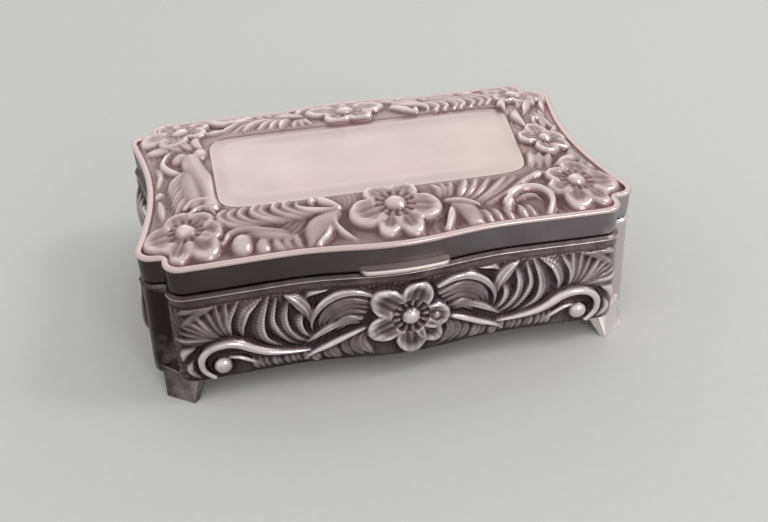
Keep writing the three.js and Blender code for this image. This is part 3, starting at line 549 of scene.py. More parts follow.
class Carving:
    """The height of a carved face over its ground, on a grid of places across and up the face."""

    def __init__(self, across, up):
        self.across = across
        self.up = up
        self.height = np.zeros(across.shape)

    def turned(self, x, y=1):
        """The same face read with its axes turned over, where x or y is -1, to carve a motif again."""
        view = Carving(x * self.across, y * self.up)
        view.height = self.height
        return view

    def near(self, points, reach):
        low, high = points.min(axis=0) - reach, points.max(axis=0) + reach
        return (self.across > low[0]) & (self.across < high[0]) & (self.up > low[1]) & (self.up < high[1])

    def measured(self, where, at, turn=0.0):
        """How far the places lie from a point, in the direction turn, in degrees, and across it."""
        x, y = self.across[where] - at[0], self.up[where] - at[1]
        c, s = direction(turn)
        return x * c + y * s, y * c - x * s

    def lift(self, where, height):
        self.height[where] = np.maximum(self.height[where], height)

    def stroke(self, route, width, proud, ends=(0.5, 0.1), crest=0.0, hollow=0.0, veins=0, hatch=0.0):
        """A raised band along a route. ends are its widths at the start and the end as shares of the
        whole width, crest says where its highest line lies from one edge (-1) to the other (1), and
        hollow dishes the wider side. veins are grooves along it, and hatch the pitch of those across."""
        line = smooth_route(route)
        where = self.near(line, width)
        places = np.column_stack((self.across[where], self.up[where]))
        if not len(places):
            return
        start, step = line[:-1], np.diff(line, axis=0)
        length = np.linalg.norm(step, axis=1)
        from_start = places[:, None] - start
        share = np.clip((from_start * step).sum(-1) / length ** 2, 0, 1)
        apart = from_start - share[..., None] * step
        distance = np.linalg.norm(apart, axis=-1)
        pick = distance.argmin(axis=1)
        rows = np.arange(len(places))
        apart, share, distance = apart[rows, pick], share[rows, pick], distance[rows, pick]
        run = np.concatenate(((0,), np.cumsum(length)))
        total = run[-1]
        along = (run[pick] + share * length[pick]) / total
        side = np.sign(step[pick, 0] * apart[:, 1] - step[pick, 1] * apart[:, 0])
        growing = np.sin(np.pi / 2 * np.minimum(1, along / WIDEST_AT))
        thinning = np.sin(np.pi / 2 * np.minimum(1, (1 - along) / (1 - WIDEST_AT)))
        girth = np.minimum(ends[0] + (1 - ends[0]) * growing, ends[1] + (1 - ends[1]) * thinning)
        q = side * distance / (width / 2 * girth)
        fall = np.clip(np.where(q > crest, (q - crest) / (1 - crest), (crest - q) / (1 + crest)), 0, 1)
        section = np.sqrt(1 - fall ** 2)
        if hollow:
            wide = (q < crest) if crest > 0 else (q > crest)
            dished = (1 - hollow) * section + hollow * (1 - fall) ** DISH_POWER
            section = np.where(wide, dished, section)
        height = proud * section * girth ** 0.5
        if veins:
            height -= VEIN_DEPTH * proud * (1 + np.cos(np.pi * veins * (q + 1))) * section
        if hatch:
            groove = along * total / hatch - 0.5 * np.abs(q)
            height -= HATCH_DEPTH * proud * (1 + np.cos(2 * np.pi * groove)) * section
        self.lift(where, np.where(np.abs(q) < 1, height, 0))

    def dome(self, at, radius, proud, stretch=1.0, turn=0.0):
        """A round or oval boss. stretch lengthens it along the direction turn, in degrees."""
        where = self.near(np.array([at], float), radius * max(stretch, 1))
        along, side = self.measured(where, at, turn)
        away = np.hypot(along / stretch, side) / radius
        self.lift(where, proud * np.sqrt(np.clip(1 - away ** 2, 0, 1)))

    def petal(self, root, turn, length, width, proud):
        """A cupped, ribbed petal from its root in the direction turn, widest beyond its middle."""
        c, s = direction(turn)
        middle = np.array([(root[0] + c * length / 2, root[1] + s * length / 2)])
        where = self.near(middle, length)
        along, side = self.measured(where, root, turn)
        along, side = along / length, side / (width / 2)
        narrow = PETAL_ROOT_WIDTH + (1 - PETAL_ROOT_WIDTH) * np.clip(along / PETAL_WIDE_FROM, 0, 1)
        away = np.sqrt(((along - 0.5) / 0.5) ** 2 + (side / narrow) ** 2)
        edge = np.sqrt(np.clip(1 - away ** 8, 0, 1))
        reach = np.clip((away - CUP_FROM) / CUP_RUN, 0, 1)
        bowl = 1 - PETAL_CUP * (1 - reach ** 2 * (3 - 2 * reach))
        rib = RIB_HEIGHT * np.cos(np.pi * PETAL_RIBS * side) * np.clip(1.2 - along, 0, 1)
        self.lift(where, np.where(away < 1, proud * edge * (bowl + rib), 0))

    def flower(self, at, petals, dome, proud, stretch=1.0, lean=0.0):
        """Petals given by (turn, length, width), a ring of short ridges and a domed middle."""
        for turn, length, width in petals:
            self.petal(at, turn, length, width, proud)
        where = self.near(np.array([at], float), 2 * dome)
        x, y = self.measured(where, at)
        away = np.hypot(x, y) / dome
        ridges = 0.5 + 0.16 * np.cos(RIDGES * np.arctan2(y, x))
        band = np.sqrt(np.clip(1 - ((away - RING_CREST) / RING_HALF) ** 4, 0, 1))
        ring = (away > RING_START) & (away < RING_END)
        self.height[where] = np.where(ring, proud * ridges * band, self.height[where])
        self.dome(at, dome, proud * MIDDLE_RISE, stretch, lean)

    def fan(self, first, last, count, width, proud, **more):
        """Strokes whose routes change from the first to the last, each a little uneven."""
        first, last = np.array(first, float), np.array(last, float)
        for index, share in enumerate(np.linspace(0, 1, count)):
            stray = math.sin(2.4 * index + 0.9)
            route = first + (last - first) * (share + PLACE_STRAY * stray / count)
            self.stroke(route, width * (1 + WIDTH_STRAY * stray), proud * (1 + HEIGHT_STRAY * stray), **more)

    def matting(self, pitch, proud):
        """Low wavering lines over the whole ground, as a chasing tool leaves them."""
        x, y = self.across, self.up
        drift = 1.4 * np.sin(y / 2.3 + 0.7 * np.sin(x / 3.1)) + 1.1 * np.sin((x + 0.6 * y) / 3.7)
        beat = 0.7 + 0.3 * np.cos(2 * np.pi * (y - 0.5 * x) / (2.3 * pitch))
        lines = np.cos(2 * np.pi * (x + drift) / pitch) * beat
        np.maximum(self.height, proud * (0.6 + 0.4 * lines), out=self.height)


# Relief on the walls, with heights above the floor

FLOWER_MIDDLE = (0.7, 12.3)
FRONT_PETALS = [(142, 8.7, 6.6), (73, 7.5, 6.4), (-10, 7.6, 6), (-48, 8.2, 4.8), (-90, 8.1, 6.2),
                (203, 8.6, 6)]


def wall_half(carve):
    """The right half of a long wall: curled leaf, lower leaf, fan, scroll with its ball, corner leaf."""
    stroke, fan = carve.stroke, carve.fan
    # Curled leaf beside the flower
    stroke([(5.8, 17.3), (8.5, 18.4), (11.5, 18.3), (14.2, 16.9), (16, 14.8), (16.8, 12.4), (16.5, 10.2)],
           2, 1.4, veins=2)
    fan([(6, 15.8), (9.8, 16.9), (13.3, 15.7), (15.2, 13.2), (15.4, 10.6)],
        [(8.6, 11.7), (10.4, 12), (11.6, 11.2), (12.2, 10.4), (12, 9.8)], 5, 1.7, 0.95, veins=2)
    stroke([(9, 12.8), (12.2, 12), (15, 10.5), (17.7, 8.5)], 1.8, 1.15, ends=(0.4, 0.3), veins=2)
    # Lower leaf
    stroke([(7.6, 10.7), (10.8, 9.3), (14, 7.7), (17, 6.3), (18.5, 5.1)],
           1.5, 1.35, crest=-0.3, ends=(0.5, 0.4))
    fan([(7.4, 9.8), (7.8, 7.4), (5.8, 4.6)], [(16.4, 6.4), (16.4, 5.4), (15.2, 4.4)], 6, 2.3, 0.9, veins=2)
    # Leaf between the curled leaf and the fan
    stroke([(20.6, 19), (18.8, 17.4), (17.4, 15.2), (17.3, 13)], 3, 1.35, ends=(0.5, 0.2), veins=3)
    stroke([(13.6, 19.2), (16.4, 18.8), (18.2, 17.4)], 1.6, 0.8, veins=1)
    # Fan
    for route, width in (
        ([(18.4, 15.6), (19.3, 13), (18.7, 11), (17, 9.2)], 2.4),
        ([(20.8, 18), (21.9, 14.8), (21.5, 12), (19.8, 9.8), (17.6, 8.4)], 2.7),
        ([(22.8, 18.4), (23.9, 14.8), (23.3, 12.2), (21.4, 9.6), (19.4, 8.2)], 2.1),
        ([(24.2, 19), (25.8, 15.6), (26.1, 12.6), (24.9, 10), (21.6, 8)], 2.9),
        ([(25.6, 19.2), (28.4, 17.4), (29.5, 14.5), (29, 11.2)], 3.4),
        ([(29.4, 19), (31.2, 16.4), (31.3, 13.8), (30.4, 11.6)], 1.9),
    ):
        stroke(route, width, 1.3, ends=(0.35, 0.15), crest=-0.5, hollow=0.6, veins=3, hatch=0.7)
    # Scroll, its ball and its stem
    stroke([(34.6, 4.5), (36.3, 6.4), (36.4, 8.8), (34.8, 10.7), (32.2, 11.3), (29.6, 10.7), (27.2, 9.2),
            (24.6, 8), (21.2, 7.3), (17.4, 6.9)], 2.2, 1.55, ends=(0.6, 0.3))
    carve.dome((32.9, 6.8), 1.9, 1.65)
    stroke([(31.6, 8.3), (30, 8), (28.3, 7.1), (26.4, 5.6)], 1.2, 1.2, ends=(0.6, 0.3))
    fan([(27.6, 7.2), (27.4, 5.8), (26.6, 4.4)], [(18.4, 7.2), (18.4, 5.8), (17.6, 4.4)],
        9, 1.5, 0.75, veins=1)
    # Corner leaf
    tips = {"ends": (0.4, 0.3), "crest": 0.3, "hollow": 0.45, "veins": 2}
    fan([(31.2, 12.6), (31.8, 15.6), (31.2, 19)], [(32.8, 12.2), (35.2, 14.8), (37, 18.6)], 4, 2.5, 1, **tips)
    fan([(32.8, 12.2), (35.6, 14.2), (38.2, 17)], [(33.4, 12), (36.6, 12.4), (39.8, 12.8)], 4, 2.4, 1, **tips)
    fan([(33.6, 18.9), (36, 18), (39.2, 15.4)], [(35, 19.2), (37.4, 19), (39.6, 18.2)], 2, 1.7, 0.75, veins=2)
    stroke([(37.2, 11.4), (38.9, 10.2), (39.4, 8.2)], 1.8, 0.95, ends=(0.5, 0.3), veins=1)
    stroke([(38, 8.4), (38.4, 6.4), (37, 4.6)], 1.5, 0.85, ends=(0.3, 0.4))


def long_wall_relief(carve):
    """A flower between two halves that mirror each other, with a ball at either side."""
    carve.matting(0.8, 0.28)
    for side in (-1, 1):
        wall_half(carve.turned(side))
    carve.flower(FLOWER_MIDDLE, FRONT_PETALS, 1.9, 1.45)
    carve.dome((5.4, 11.5), 1.2, 1.3)
    carve.dome((-5.2, 9.8), 0.8, 1.1)


def end_wall_relief(carve):
    """A flower between curled leaves, and tall leaves beside each ear."""
    carve.matting(0.8, 0.28)
    for side in (-1, 1):
        half = carve.turned(side)
        stroke, fan = half.stroke, half.fan
        stroke([(5, 16.8), (8, 18.2), (11, 17.6), (13.2, 15.2), (13.7, 12.4), (12.6, 9.8)], 1.6, 1.4)
        fan([(5.6, 15.2), (8.8, 16.2), (11.4, 14.8), (12, 11.8)],
            [(7.2, 11.8), (8.6, 12), (9.6, 11.2), (9.8, 10.2)], 4, 1.7, 0.95, veins=2)
        stroke([(6.6, 10.6), (10, 9), (13, 7.2), (16.6, 5.2)], 1.5, 1.25)
        fan([(7.6, 9.4), (8.2, 7.4), (6.8, 4.8)], [(14.4, 6.4), (14.6, 5.4), (13.8, 4.6)],
            4, 1.9, 0.85, veins=2)
        fan([(13.8, 9.6), (15.2, 12.4), (14.8, 15.4), (13.6, 18.2)],
            [(17, 7.2), (19.2, 11.2), (19.4, 15.4), (18.4, 18.6)], 3, 2.3, 1.5, ends=(0.3, 0.3), veins=3)
    carve.flower((0, 12.2), [(turn, 7.2, 5.6) for turn in (90, 162, 234, 306, 18)], 1.8, 1.4)


# Relief on the lid's border, with y towards the back. Half a turn repeats the front at the back

def lid_front(carve):
    """Fans, curls, leaves and bosses at either side of a flower."""
    stroke, fan, dome = carve.stroke, carve.fan, carve.dome
    # Left-hand fan, its ribbed foot and the bosses along the bead
    fan([(-29, -15.8), (-30, -17.8), (-28.4, -20), (-24.6, -21.6)],
        [(-17.4, -15.2), (-18.4, -17), (-17, -18.8), (-13.6, -20.6)],
        7, 2.3, 1.25, ends=(0.45, 0.15), crest=-0.4, hollow=0.55, veins=2)
    fan([(-28.6, -19.8), (-25.4, -21.6), (-19.4, -22.8)], [(-25.6, -23.8), (-21.4, -24.6), (-16.8, -25.6)],
        5, 1.5, 0.85, ends=(0.4, 0.3), veins=1)
    dome((-27, -25), 2, 1.3, stretch=1.25, turn=75)
    stroke([(-30.2, -24.4), (-29, -22.4), (-26.6, -21.8), (-24.2, -22.6), (-22.6, -24.6)], 1.6, 1, veins=1)
    dome((-23.6, -25.8), 1.4, 0.95, stretch=1.3, turn=80)
    fan([(-21.6, -24.6), (-21.2, -26.2), (-20.2, -27.2)], [(-17.6, -24.4), (-17.6, -26), (-17.2, -27.2)],
        3, 1.7, 0.8, ends=(0.6, 0.4), veins=1)
    # Curl and pointed leaf
    stroke([(-9.6, -19.7), (-12, -19.8), (-14.6, -19.3), (-16.1, -18.2), (-16.5, -16.6), (-15.8, -15.2)],
           1.4, 1.5)
    dome((-13.7, -16.4), 0.7, 1.4, stretch=1.6, turn=80)
    stroke([(-13, -15.6), (-11.6, -17.2), (-9.2, -19.4)], 2.2, 1.4, ends=(0.4, 0.6))
    stroke([(-10.2, -20.6), (-12.2, -22.4), (-14.2, -24.6), (-15.8, -27.4)], 5.4, 1.25, crest=0.1)
    stroke([(-11.3, -23.4), (-12.1, -25.6), (-14.2, -27.4)], 1.3, 1.5, ends=(0.2, 0.7))
    stroke([(-10, -20.6), (-10.6, -23.4), (-9.6, -25.6), (-7.4, -27.9)], 1.6, 1.15)
    # Leaves to the right of the flower
    fan([(8.2, -16), (9.2, -17.8), (8.8, -20)], [(12.2, -15.6), (11.6, -18), (10.4, -20.2)],
        3, 1.5, 0.8, veins=1)
    stroke([(10.2, -22.6), (9.9, -24.8), (8.4, -28)], 1.9, 1.4, ends=(0.2, 0.7))
    stroke([(9.6, -21.2), (12.4, -21.8), (15.4, -22.9)], 1.2, 1.2, ends=(0.6, 0.4))
    stroke([(11, -22.6), (13.2, -24.8), (13.8, -27.6)], 4.2, 1.05, ends=(0.5, 0.7))
    # Right-hand fan, scroll and bosses
    fan([(14.4, -15.6), (13.8, -17.4), (12.6, -19.6), (12.2, -20.6)],
        [(26.8, -16.8), (24.4, -18.8), (20.6, -21.2), (16.8, -23)],
        6, 2, 1.25, ends=(0.4, 0.3), crest=0.4, hollow=0.55, veins=2)
    stroke([(20.4, -24.6), (21.4, -22.4), (23.4, -21.1), (25.7, -21), (27.8, -22.1), (28.7, -24.2),
            (27.2, -27.4)], 1.7, 1.55, ends=(0.9, 0.6))
    stroke([(22, -23.4), (23.8, -22.6), (25.8, -22.8), (26.9, -24.2)], 1, 0.9)
    dome((20.7, -23.6), 1.3, 1.5)
    fan([(15.4, -24.6), (16, -26), (16, -27.4)], [(24, -24.6), (24.4, -26.2), (24.4, -27.2)],
        5, 1.7, 0.85, ends=(0.5, 0.4), veins=1)
    stroke([(26.6, -17.6), (28.4, -16.8), (30.6, -16.4)], 1.9, 1, veins=1)
    petals = [(128, 7, 6), (56, 6.6, 6), (198, 9.2, 7.6), (-20, 8.6, 7.2), (-74, 8.8, 5.4), (-112, 8.6, 5)]
    carve.flower((0.7, -20.4), petals, 2.1, 1.4)


def lid_left(carve):
    """A great leaf, with a scroll and bosses behind it."""
    stroke, fan, dome = carve.stroke, carve.fan, carve.dome
    # Great leaf with ribbed lobes on its outer side
    stroke([(-33.6, 6.4), (-33.2, 2.4), (-32, -3), (-31, -8), (-31.2, -13.4)], 4.6, 1.55, ends=(0.9, 0.8))
    stroke([(-33.8, 2.6), (-34.4, -2), (-34.2, -7), (-33.6, -11.8)], 4.4, 1.4, ends=(0.4, 0.8))
    stroke([(-32, 3.4), (-31.2, -1), (-30, -6.5), (-29.6, -11.6)], 1.8, 1.35, ends=(0.3, 0.5))
    fan([(-34.6, 1.4), (-36.8, -0.4), (-38.2, -3.2)], [(-33.6, -7.4), (-35.6, -9.6), (-37.4, -13)],
        6, 2.4, 1.25, ends=(0.8, 0.35), hollow=0.4, veins=2)
    stroke([(-36, -12.6), (-34.2, -11.4), (-32, -11.6), (-30.2, -13)], 1.5, 1.6, ends=(0.5, 0.5))
    # Curls over the corner flower
    stroke([(-34.8, -18.2), (-35, -15.8), (-34, -14.2), (-32.4, -13.8), (-31.1, -15), (-30.4, -17.6)],
           1.3, 1.3)
    stroke([(-38.8, -18.2), (-38.6, -15.6), (-37.6, -13.8)], 2, 1.1, veins=1)
    # Leaves along the bead
    stroke([(-40.2, -5.6), (-39.9, -9.5), (-39.8, -13.8)], 1.7, 0.9)
    dome((-40.2, -3.2), 1, 0.85, stretch=1.4, turn=90)
    stroke([(-40.2, 0.2), (-39.6, 4.2), (-40.4, 8.4)], 1.5, 0.9)
    # Scroll and bosses behind the leaf
    stroke([(-35, 0.4), (-36.8, 2.8), (-38.4, 5.6), (-38.9, 8.6), (-37.6, 11.6), (-35.4, 12.2)], 1.7, 1.3)
    dome((-35.4, 7.9), 1.9, 1.25, stretch=1.15, turn=100)
    dome((-31.7, 7.6), 1.7, 1.4, stretch=1.5, turn=80)
    fan([(-31.2, 10.4), (-32, 13.4), (-31, 16.4)], [(-37.6, 12.6), (-40, 14.4), (-41.8, 15.6)],
        4, 2.2, 1.1, veins=2)


def lid_right(carve):
    """A side flower, blades and a curl."""
    stroke, fan = carve.stroke, carve.fan
    petals = [(172, 5.8, 5.2), (100, 6.4, 5.2), (30, 5.6, 4.6), (-32, 5.2, 4.6), (-104, 6.6, 5.2)]
    carve.flower((35.2, -2.6), petals, 1.5, 1.45)
    stroke([(38.8, -9), (37.2, -11.2), (35, -12.8), (32.6, -14.6)], 2.4, 1.5, ends=(0.4, 0.2), crest=-0.4)
    stroke([(39.4, 4), (38.4, 6.8), (36.5, 7.2), (35.7, 5.4), (36.8, 3.4)], 1.4, 1.35)
    stroke([(33.6, 10.8), (32.6, 7.8), (33, 4.4)], 2.6, 1.3, ends=(0.4, 0.5))
    stroke([(40.5, 6), (39.3, 3.4), (37.6, 1.4)], 1.3, 1)
    fan([(39.4, -5.2), (38.4, -8.2), (36.4, -10.8)], [(40.6, -11.8), (39.6, -14.4), (37.6, -16)],
        4, 1.9, 1.05, veins=2)
    fan([(29.8, -8.4), (28.9, -11.4), (28, -14.2)], [(33.4, -9.4), (32.3, -12.2), (31.2, -15)],
        3, 2.2, 1.15, veins=2)
    stroke([(38.8, 16.4), (36.8, 13.2), (34.8, 9)], 2, 1.5, crest=-0.3)
    stroke([(33, 17), (31.4, 13.8), (30.6, 10)], 2.2, 1.4)
    stroke([(42.2, 18.4), (40.9, 15.4), (40.2, 11.6)], 1.7, 1.2)
    fan([(36.2, 8.6), (37.6, 6.2), (37, 3)], [(39.4, 12.6), (39, 9.8), (38, 7.2)], 3, 1.9, 1.05, veins=2)
    stroke([(34.8, 12.6), (35.8, 15.4), (34.6, 17.8)], 2, 1, veins=2)


def lid_corners(carve):
    """The front's two corner flowers. The left one's middle is oval."""
    left = [(188, 7.8, 8), (108, 6.2, 6), (36, 6, 5.4), (-18, 6.8, 6), (-60, 8.6, 6.4), (-110, 8.6, 6)]
    carve.flower((-36.1, -19.8), left, 1.8, 1.35, stretch=1.25, lean=-50)
    right = [(-4, 8.2, 7.8), (70, 7.2, 6.8), (150, 6, 5.2), (206, 6.8, 5), (-106, 8.4, 5.8), (-60, 8.6, 6.2)]
    carve.flower((34.9, -19.8), right, 1.9, 1.35)


def lid_relief(carve):
    """The front's relief and its repeat at the back, then the two ends."""
    carve.matting(0.9, 0.3)
    both = (carve, carve.turned(-1, -1))
    for view in both:
        lid_front(view)
    lid_left(carve)
    lid_right(carve)
    for view in both:
        lid_corners(view)


# Pieces of the lid

LOOP_POINTS = 1500
BORDER_ROWS = 62
# How far the border's edges run in under the bead and under the panel
BORDER_TUCK = 0.35
PANEL_OVERLAP = 0.3
# Shares of the border's width over which its relief dies away, at the bead and at the panel
BEAD_FADE = 0.06
PANEL_FADE = 0.05
# The share of the drawn height that the casting keeps, and how far its forms are rounded
CAST_SHARE = 0.94
LID_BLUR = 0.2
WALL_BLUR = 0.12
# The mean length of the border's loops, as a share of the outermost
MEAN_LOOP = 0.8
# Wear: how far it reaches on the ground, and how it grows with height and with what stands out; and how much
# lighter the border is made towards the back
WEAR_GROUND = 0.32
WEAR_HEIGHT = 0.14
WEAR_OVER_BROAD = 0.75
WEAR_OVER_FINE = 0.9
LIGHTER_TO_BACK = 0.11
# What stands out is measured over the height blurred by these
BROAD_BLUR = 1.1
FINE_BLUR = 0.45


def blur_weights(count, spacing, radius, around=False):
    """Each place's shares of the others in a blur over a radius. around joins the ends."""
    step = np.abs(np.arange(count)[:, None] - np.arange(count))
    if around:
        step = np.minimum(step, count - step)
    near = np.exp(-0.5 * (step * spacing / radius) ** 2)
    return near / near.sum(axis=1, keepdims=True)


def soften(height, across_mm, along_mm, radius, closed):
    """The height blurred over a radius, on a grid with these spacings."""
    rows, columns = height.shape
    along = blur_weights(columns, along_mm, radius, closed)
    return blur_weights(rows, across_mm, radius) @ height @ along.T


def polish_of(height, across_mm, along_mm, closed):
    """How far wear has reached, from 0 in the crevices to 1 on the crests."""
    over_broad = height - soften(height, across_mm, along_mm, BROAD_BLUR, closed)
    over_fine = height - soften(height, across_mm, along_mm, FINE_BLUR, closed)
    wear_and_light = WEAR_GROUND + WEAR_HEIGHT * height + WEAR_OVER_BROAD * over_broad + WEAR_OVER_FINE * over_fine
    return np.clip(wear_and_light, 0, 1)


def lid_border():
    """The relief between the bead and the panel, as a closed ring."""
    outline = whole(QUARTER, LOOP_POINTS)
    outer = offset(outline, BORDER_TUCK - BEAD_WIDTH)
    inner = panel_loop(outline, -PANEL_OVERLAP)
    shares = np.linspace(0, 1, BORDER_ROWS)
    plan = outer + (inner - outer) * shares[:, None, None]
    carve = Carving(plan[..., 0], plan[..., 1])
    lid_relief(carve)
    width = np.linalg.norm(inner - outer, axis=1).mean() / BORDER_ROWS
    around = np.linalg.norm(np.diff(outer, axis=0), axis=1).mean() * MEAN_LOOP
    height = CAST_SHARE * soften(carve.height, width, around, LID_BLUR, True)
    edge = np.clip(shares / BEAD_FADE, 0, 1) * np.clip((1 - shares) / PANEL_FADE, 0, 1)
    height = height * edge[:, None]
    ground = BORDER_LOW + (BORDER_HIGH - BORDER_LOW) * np.sin(np.pi / 2 * shares)[:, None]
    top = np.dstack((plan, np.broadcast_to(ground, height.shape) + height))
    under = np.array([at_height(inner, BORDER_HIGH - LID_WALL), at_height(outer, BORDER_LOW - LID_WALL)])
    # The border's tone share, made lighter towards the back.
    lightness = polish_of(height, width, around, True) + LIGHTER_TO_BACK * (0.45 + plan[..., 1] / LONG_FACE)
    polish = np.vstack((lightness, np.zeros((2, LOOP_POINTS))))
    piece = solid_of_rows("lid_border", np.concatenate((top, under)), around=True, polish=polish)
    fit(piece, "lid", "silver_relief", LID_SILVER, "lid_shell")


RIM_POINTS = 900


def lid_rim():
    """The plain skirt and the rounded bead that tops it."""
    outline = whole(QUARTER, RIM_POINTS)
    lip = 0.25
    skirt_top = RIM_TOP - BEAD_HEIGHT + 0.1
    hem = -SKIRT_SET - SKIRT_DRAFT
    section = [
        (hem - LID_WALL, LID_BOTTOM + lip, 0),
        (hem - LID_WALL + lip, LID_BOTTOM, 0),
        (hem - lip, LID_BOTTOM, 0.3),
        (hem - lip / 3, LID_BOTTOM + lip / 4, 0.5),
        (hem, LID_BOTTOM + lip, 0.1),
        (hem + SKIRT_DRAFT / 8, LID_BOTTOM + 2 * lip, 0),
        (-SKIRT_SET, skirt_top - 0.4, 0),
        (-SKIRT_SET, skirt_top - 0.1, 0),
        (-SKIRT_SET + 0.04, skirt_top, 0.2),
    ]
    half_width, half_height = BEAD_WIDTH / 2, (RIM_TOP - skirt_top) / 2
    for angle in np.radians(np.arange(-40, 226, 15)):
        reach, rise = math.cos(angle), math.sin(angle)
        section.append((
            -half_width + half_width * math.copysign(abs(reach) ** 0.75, reach),
            RIM_TOP - half_height + half_height * math.copysign(abs(rise) ** 0.8, rise), 0.95,
        ))
    section.append((-SKIRT_SET - LID_WALL, BORDER_LOW - LID_WALL, 0.2))
    rows = profile(outline, section, closed=True)
    polish = [np.full(len(outline), lightness) for across, z, lightness in section]
    piece = crease(solid_of_rows("lid_rim", rows, around=True, polish=polish), 50)
    fit(piece, "lid", "silver_plain", RIM_SILVER, "lid_shell")


PANEL_POINTS = 600
# The panel's foot is tucked into the border by this
PANEL_TUCK = 0.35


def lid_panel():
    """The smooth panel, with an S-shaped step at its edge and a low crown."""
    outline = whole(QUARTER, PANEL_POINTS)
    base = BORDER_HIGH - 0.1
    section = [(-1.5, BORDER_HIGH - LID_WALL), (0.3, BORDER_HIGH - LID_WALL), (0.38, BORDER_HIGH - 0.3)]
    step = LID_TOP - PANEL_CROWN - base
    for share in np.linspace(0, 1, 11):
        rise = (1 - math.cos(math.pi * share)) / 2
        section.append((PANEL_TUCK - PANEL_ROUND * share, base + step * rise))
    rows = [at_height(panel_loop(outline, grow), z) for grow, z in section]
    for share in np.linspace(0.04, 0.985, 18):
        loop = panel_loop(outline, PANEL_TUCK - PANEL_ROUND) * (1 - share)
        flatness = math.sin(math.pi / 2 * min(1, share * 1.8))
        rows.append(at_height(loop, LID_TOP - PANEL_CROWN * (1 - flatness)))
    piece = solid_of_rows("lid_panel", rows, around=True, wrap=False)
    fit(crease(piece, 60), "lid", "silver_relief", PANEL_SILVER, "lid_shell")


lid_border()
lid_rim()
lid_panel()


# Walls

def long_path(count):
    """The front wall's run in plan, from its left-hand notch to the right-hand one."""
    right = LONG_QUARTER[::-1]
    line = np.vstack((mirrored(right, x=-1)[::-1][:-1], right))
    return evenly(mirrored(line, y=-1), count)


def end_path(count):
    """The right-hand wall's run in plan, from the front ear to the back one."""
    line = np.vstack((mirrored(END_QUARTER, y=-1)[::-1][:-1], END_QUARTER))
    return evenly(line, count)


RELIEF_ROWS = 98
RELIEF_FOOT = WALL_BOTTOM + 0.4
RELIEF_TOP = LEDGE_FOOT - 1.4
# The lengths over which a wall's relief dies away, at its ends and at its top
RELIEF_FADE = 1.5
TOP_FADE = 0.3
# Wear on the plain parts, and a painted highlight that lightens a wall beyond this distance from the middle,
# over this run, by this much
PLAIN_WEAR = 0.42
WALL_HIGHLIGHT_FROM = 37.6
WALL_HIGHLIGHT_RUN = 2.2
WALL_HIGHLIGHT = 0.3
# The ledge at the top of a wall: how far out, how high, and how worn; the lightest tones, along the ledge's
# lip, are a painted highlight
BRIM = [
    (0, RELIEF_TOP + 0.3, 0.34), (0, LEDGE_FOOT - 0.12, 0.34), (0.08, LEDGE_FOOT, 0.4),
    (LEDGE_PROUD - 0.05, LEDGE_FOOT + 0.04, 0.55), (LEDGE_PROUD, LEDGE_FOOT + 0.12, 0.8),
    (LEDGE_PROUD - 0.06, LEDGE_FOOT + 0.19, 0.72), (LEDGE_PROUD - 0.16, LEDGE_FOOT + 0.28, 0.28),
    (-0.36, BODY_TOP - 0.06, 0.28), (-0.5, BODY_TOP, 0.45), (-WALL, BODY_TOP, PLAIN_WEAR),
]


def wall(place, path, relief, turn, axis):
    """A relief wall, as a closed solid. It runs along the axis, and a turn of -1 takes it by half a turn
    to the box's other side."""
    heights = np.linspace(RELIEF_FOOT, RELIEF_TOP, RELIEF_ROWS)
    across = path[:, axis]
    carve = Carving(*np.broadcast_arrays(across, heights[:, None]))
    relief(carve)
    spacing = heights[1] - heights[0]
    run = np.linalg.norm(np.diff(path, axis=0), axis=1).mean()
    height = soften(carve.height, spacing, run, WALL_BLUR, False)
    fade = np.clip((np.arange(len(path)) + 1) * run / RELIEF_FADE, 0, 1)
    height *= np.minimum(fade, fade[::-1]) * np.clip((RELIEF_TOP - heights) / TOP_FADE, 0, 1)[:, None]
    height[:2] *= 0.5
    normal = outward(path, False)
    underside = [(-WALL, WALL_BOTTOM), (-0.1, WALL_BOTTOM), (0.05, WALL_BOTTOM + 0.15)]
    rows = profile(path, underside)
    rows += [at_height(path + normal * line[:, None], z) for line, z in zip(height, heights)]
    rows += profile(path, BRIM)
    polish = np.full((len(rows), len(path)), PLAIN_WEAR)
    polish[len(underside):-len(BRIM)] = polish_of(height, spacing, run, False)
    # A painted highlight lightens the wall towards one end.
    polish += WALL_HIGHLIGHT * np.clip((across - WALL_HIGHLIGHT_FROM) / WALL_HIGHLIGHT_RUN, 0, 1)
    # The ledge's tones, with the painted highlight along its lip.
    polish[-len(BRIM):] = np.array([lightness for out, z, lightness in BRIM])[:, None]
    piece = solid_of_rows(f"{place}_panel", np.array(rows) * (turn, turn, 1), polish=polish)
    fit(piece, "body", "silver_relief", WALL_SILVER, f"wall_{place}")


for place, turn in (("front", 1), ("back", -1)):
    wall(place, long_path(540), long_wall_relief, turn, 0)
for place, turn in (("right", 1), ("left", -1)):
    wall(place, end_path(260), end_wall_relief, turn, 1)


# Posts and feet

# A foot's run in plan at its top, and the tips of its lower edge
FOOT_TOP = [(37.5, 28.85), (39.3, 28.8), (44.2, 23.6), (43.6, 18.6)]
FOOT_TIPS = [(38.8, 30.8), (43.4, 27.4)]
POST_THICK = 1.4
POST_DRAFT = 0.3
# Points of the end wall's and the long wall's outlines that a post runs in behind, and how far in
POST_END_POINTS = 5
POST_LONG_POINTS = 7
POST_TUCK = 0.35
FOOT_THICK = 1.3
FOOT_POINTS = 61
FOOT_EASE = 0.9
# How far a foot's seat reaches in under the body
FOOT_SEAT = 2.6
# The part of a foot's run along which its lower edge goes from one tip to the other
TIP_START = 0.2
TIP_RUN = 0.62
# How far down a foot its rows lie, as shares of its height, and how far its middle is hollowed
FOOT_DROPS = (0.04, 0.2, 0.4, 0.6, 0.8, 0.93)
FOOT_HOLLOW = 0.1


